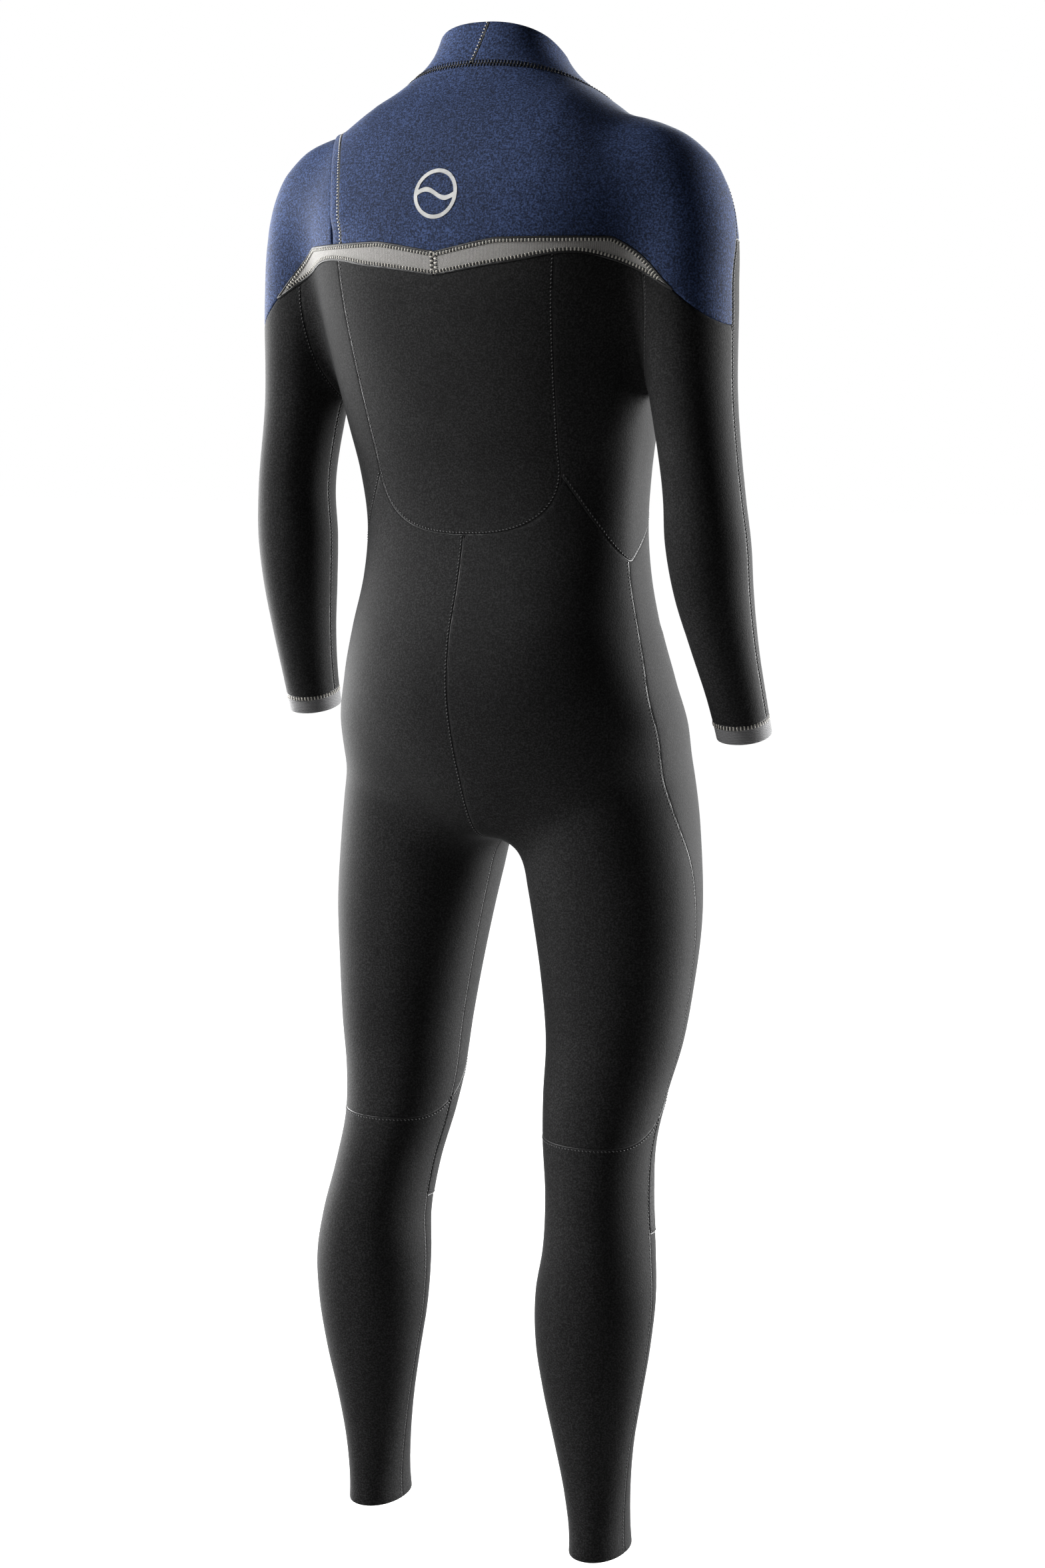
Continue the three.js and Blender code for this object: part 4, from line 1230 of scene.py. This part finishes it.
# %% Build the zip
ZIP_RADIUS, ZIP_CENTRE = 377.79, 305.21
TEETH_REACH, TOOTH_PITCH = 95, 3.2
TOOTH, TOOTH_UP, TOOTH_OUT = (3.6, 1.3, 2.2), 1.05, 0.35
PLASTIC_BEVEL, TAPE_BEVEL = 0.3, 0.25


def on_zip(points):
    """From along, up and out of the zip to the draft's millimetres."""
    u, v, w = points.T
    angle, radius = u / ZIP_RADIUS, ZIP_RADIUS + w
    return np.stack([radius * np.sin(angle), ZIP_CENTRE - radius * np.cos(angle),
                     ZIP_HEIGHT + v], 1)


def softened(node, body, finish, bevel):
    """A copy of a CAD part with its sharp edges rounded over."""
    source = frame["nodes"][node]
    piece = bpy.data.objects.new(f"{node}_rounded", source.data.copy())
    bpy.context.collection.objects.link(piece)
    pick(piece)
    bpy.ops.object.mode_set(mode="EDIT")
    bpy.ops.mesh.select_all(action="SELECT")
    bpy.ops.mesh.remove_doubles(threshold=1e-6)
    bpy.ops.mesh.dissolve_limited(angle_limit=math.radians(1))
    bpy.ops.object.mode_set(mode="OBJECT")
    rounding = piece.modifiers.new("rounding", "BEVEL")
    rounding.width = bevel / 1000
    rounding.segments = 2
    rounding.limit_method = "ANGLE"
    rounding.angle_limit = math.radians(35)
    piece.data.materials.clear()
    piece.data.materials.append(FINISH[finish])
    stand_in(piece, node, body, 40)


for node in ("zip_stop_closed_end", "zip_stop_open_end"):
    softened(node, "suit", "zip_plastic", PLASTIC_BEVEL)
for node in ("zip_tape_upper", "zip_tape_lower"):
    softened(node, "suit", "zip_tape", TAPE_BEVEL)
softened("zip_slider", "slider", "zip_plastic", PLASTIC_BEVEL)
softened("zip_pull", "pull", "zip_plastic", PLASTIC_BEVEL)

tooth_points, tooth_faces = one_stitch(*TOOTH, 0)
for row, up in (("upper", 1), ("lower", -1)):
    teeth = Thread()
    start = -TEETH_REACH + (TOOTH_PITCH / 2 if up > 0 else 0)
    for u in np.arange(start + 1, TEETH_REACH - 1, TOOTH_PITCH):
        teeth.add(on_zip(tooth_points + (u, up * TOOTH_UP, TOOTH_OUT)), tooth_faces)
    piece = mesh_object(f"zip_teeth_{row}_row", in_frame(np.concatenate(teeth.points)),
                        teeth.faces, "zip_plastic")
    stand_in(piece, f"zip_teeth_{row}", "suit", 35)
    print(piece.name, "has", len(piece.data.polygons), "facets")

# %% [markdown]
# ## The pieces that lie on and under the skin
# Behind the zip is a bib of smooth rubber that keeps the water out. On the back is a small
# printed badge. Both follow the skin, so both are cut from it: the bib as it is, and the badge
# after its part of the skin has been made finer.

# %% Cut the bib and the badge
BIB_HALF, BIB_LOW, BIB_HIGH, BIB_SINK, BIB_WALL = 122, 1290, 1415, 4.2, 2.0
BADGE_HEIGHT, BADGE_RADIUS, BADGE_LINE, BADGE_WAVE = 1387, 21, 3.6, 4.2
BADGE_LIFT, BADGE_SINK = 0.45, 0.2


def bib_edge(x, y, z):
    level = np.maximum(np.abs(x) - BIB_HALF, y - 20)
    return np.maximum(level, np.maximum(BIB_LOW - z, z - BIB_HIGH))


def badge_disc(x, y, z):
    return np.maximum(np.hypot(x, z - BADGE_HEIGHT) - BADGE_RADIUS - 8, 60 - y)


def badge_shape(x, y, z):
    ring = np.abs(np.hypot(x, z - BADGE_HEIGHT) - BADGE_RADIUS) - BADGE_LINE / 2
    crest = BADGE_HEIGHT + BADGE_WAVE * np.sin(math.pi * x / BADGE_RADIUS)
    wave = np.maximum(np.abs(z - crest) * 0.85 - BADGE_LINE / 2,
                      np.hypot(x, z - BADGE_HEIGHT) - BADGE_RADIUS)
    return np.minimum(ring, wave)


def finer(cloth):
    """Splits every facet in four."""
    a, b, c = cloth.facets.T
    pairs = np.sort(np.concatenate([np.stack(e, 1) for e in ((a, b), (b, c), (c, a))]), axis=1)
    pairs, place = np.unique(pairs, axis=0, return_inverse=True)
    ab, bc, ca = (place.ravel() + len(cloth.points)).reshape(3, -1)
    facets = np.concatenate([np.stack(f, 1) for f in
                             ((a, ab, ca), (b, bc, ab), (c, ca, bc), (ab, bc, ca))])
    half = np.full((len(pairs), 1), 0.5)
    return Cloth(insert(cloth.points, pairs, half), insert(cloth.normals, pairs, half), facets)


def whole_piece(name, node, cloth, outside, inside, finish):
    level = np.ones(len(cloth.points))
    points, facets = thicken(cloth, outside * level, inside * level)
    piece = mesh_object(name, in_frame(points), facets, finish)
    stand_in(piece, node, "suit", 50)
    return piece


bib = keep(whole_skin, bib_edge, -1, 0)
whole_piece("zip_barrier_bib", "zip_barrier", bib, -BIB_SINK,
                          BIB_SINK + BIB_WALL, "barrier_skin")
badge = keep(whole_skin, badge_disc, -1, 0)
for _ in range(3):
    badge = finer(badge)
badge = keep(badge, badge_shape, -1, 0)
whole_piece("back_badge_print", "back_badge", badge, BADGE_LIFT, BADGE_SINK, "badge_print")
print("the bib has", len(bib.facets), "facets and the badge", len(badge.facets))

# %% [markdown]
# ## Check the size and finish
# The looks stand a little proud of the CAD, as cloth does, and this prints by how much.

# %% Finish
low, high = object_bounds()
for axis, a, b, c, d in zip("xyz", cad_low, low, cad_high, high):
    print(axis, "stands proud by", round((a - b) * 1000, 1), "and", round((d - c) * 1000, 1), "mm")
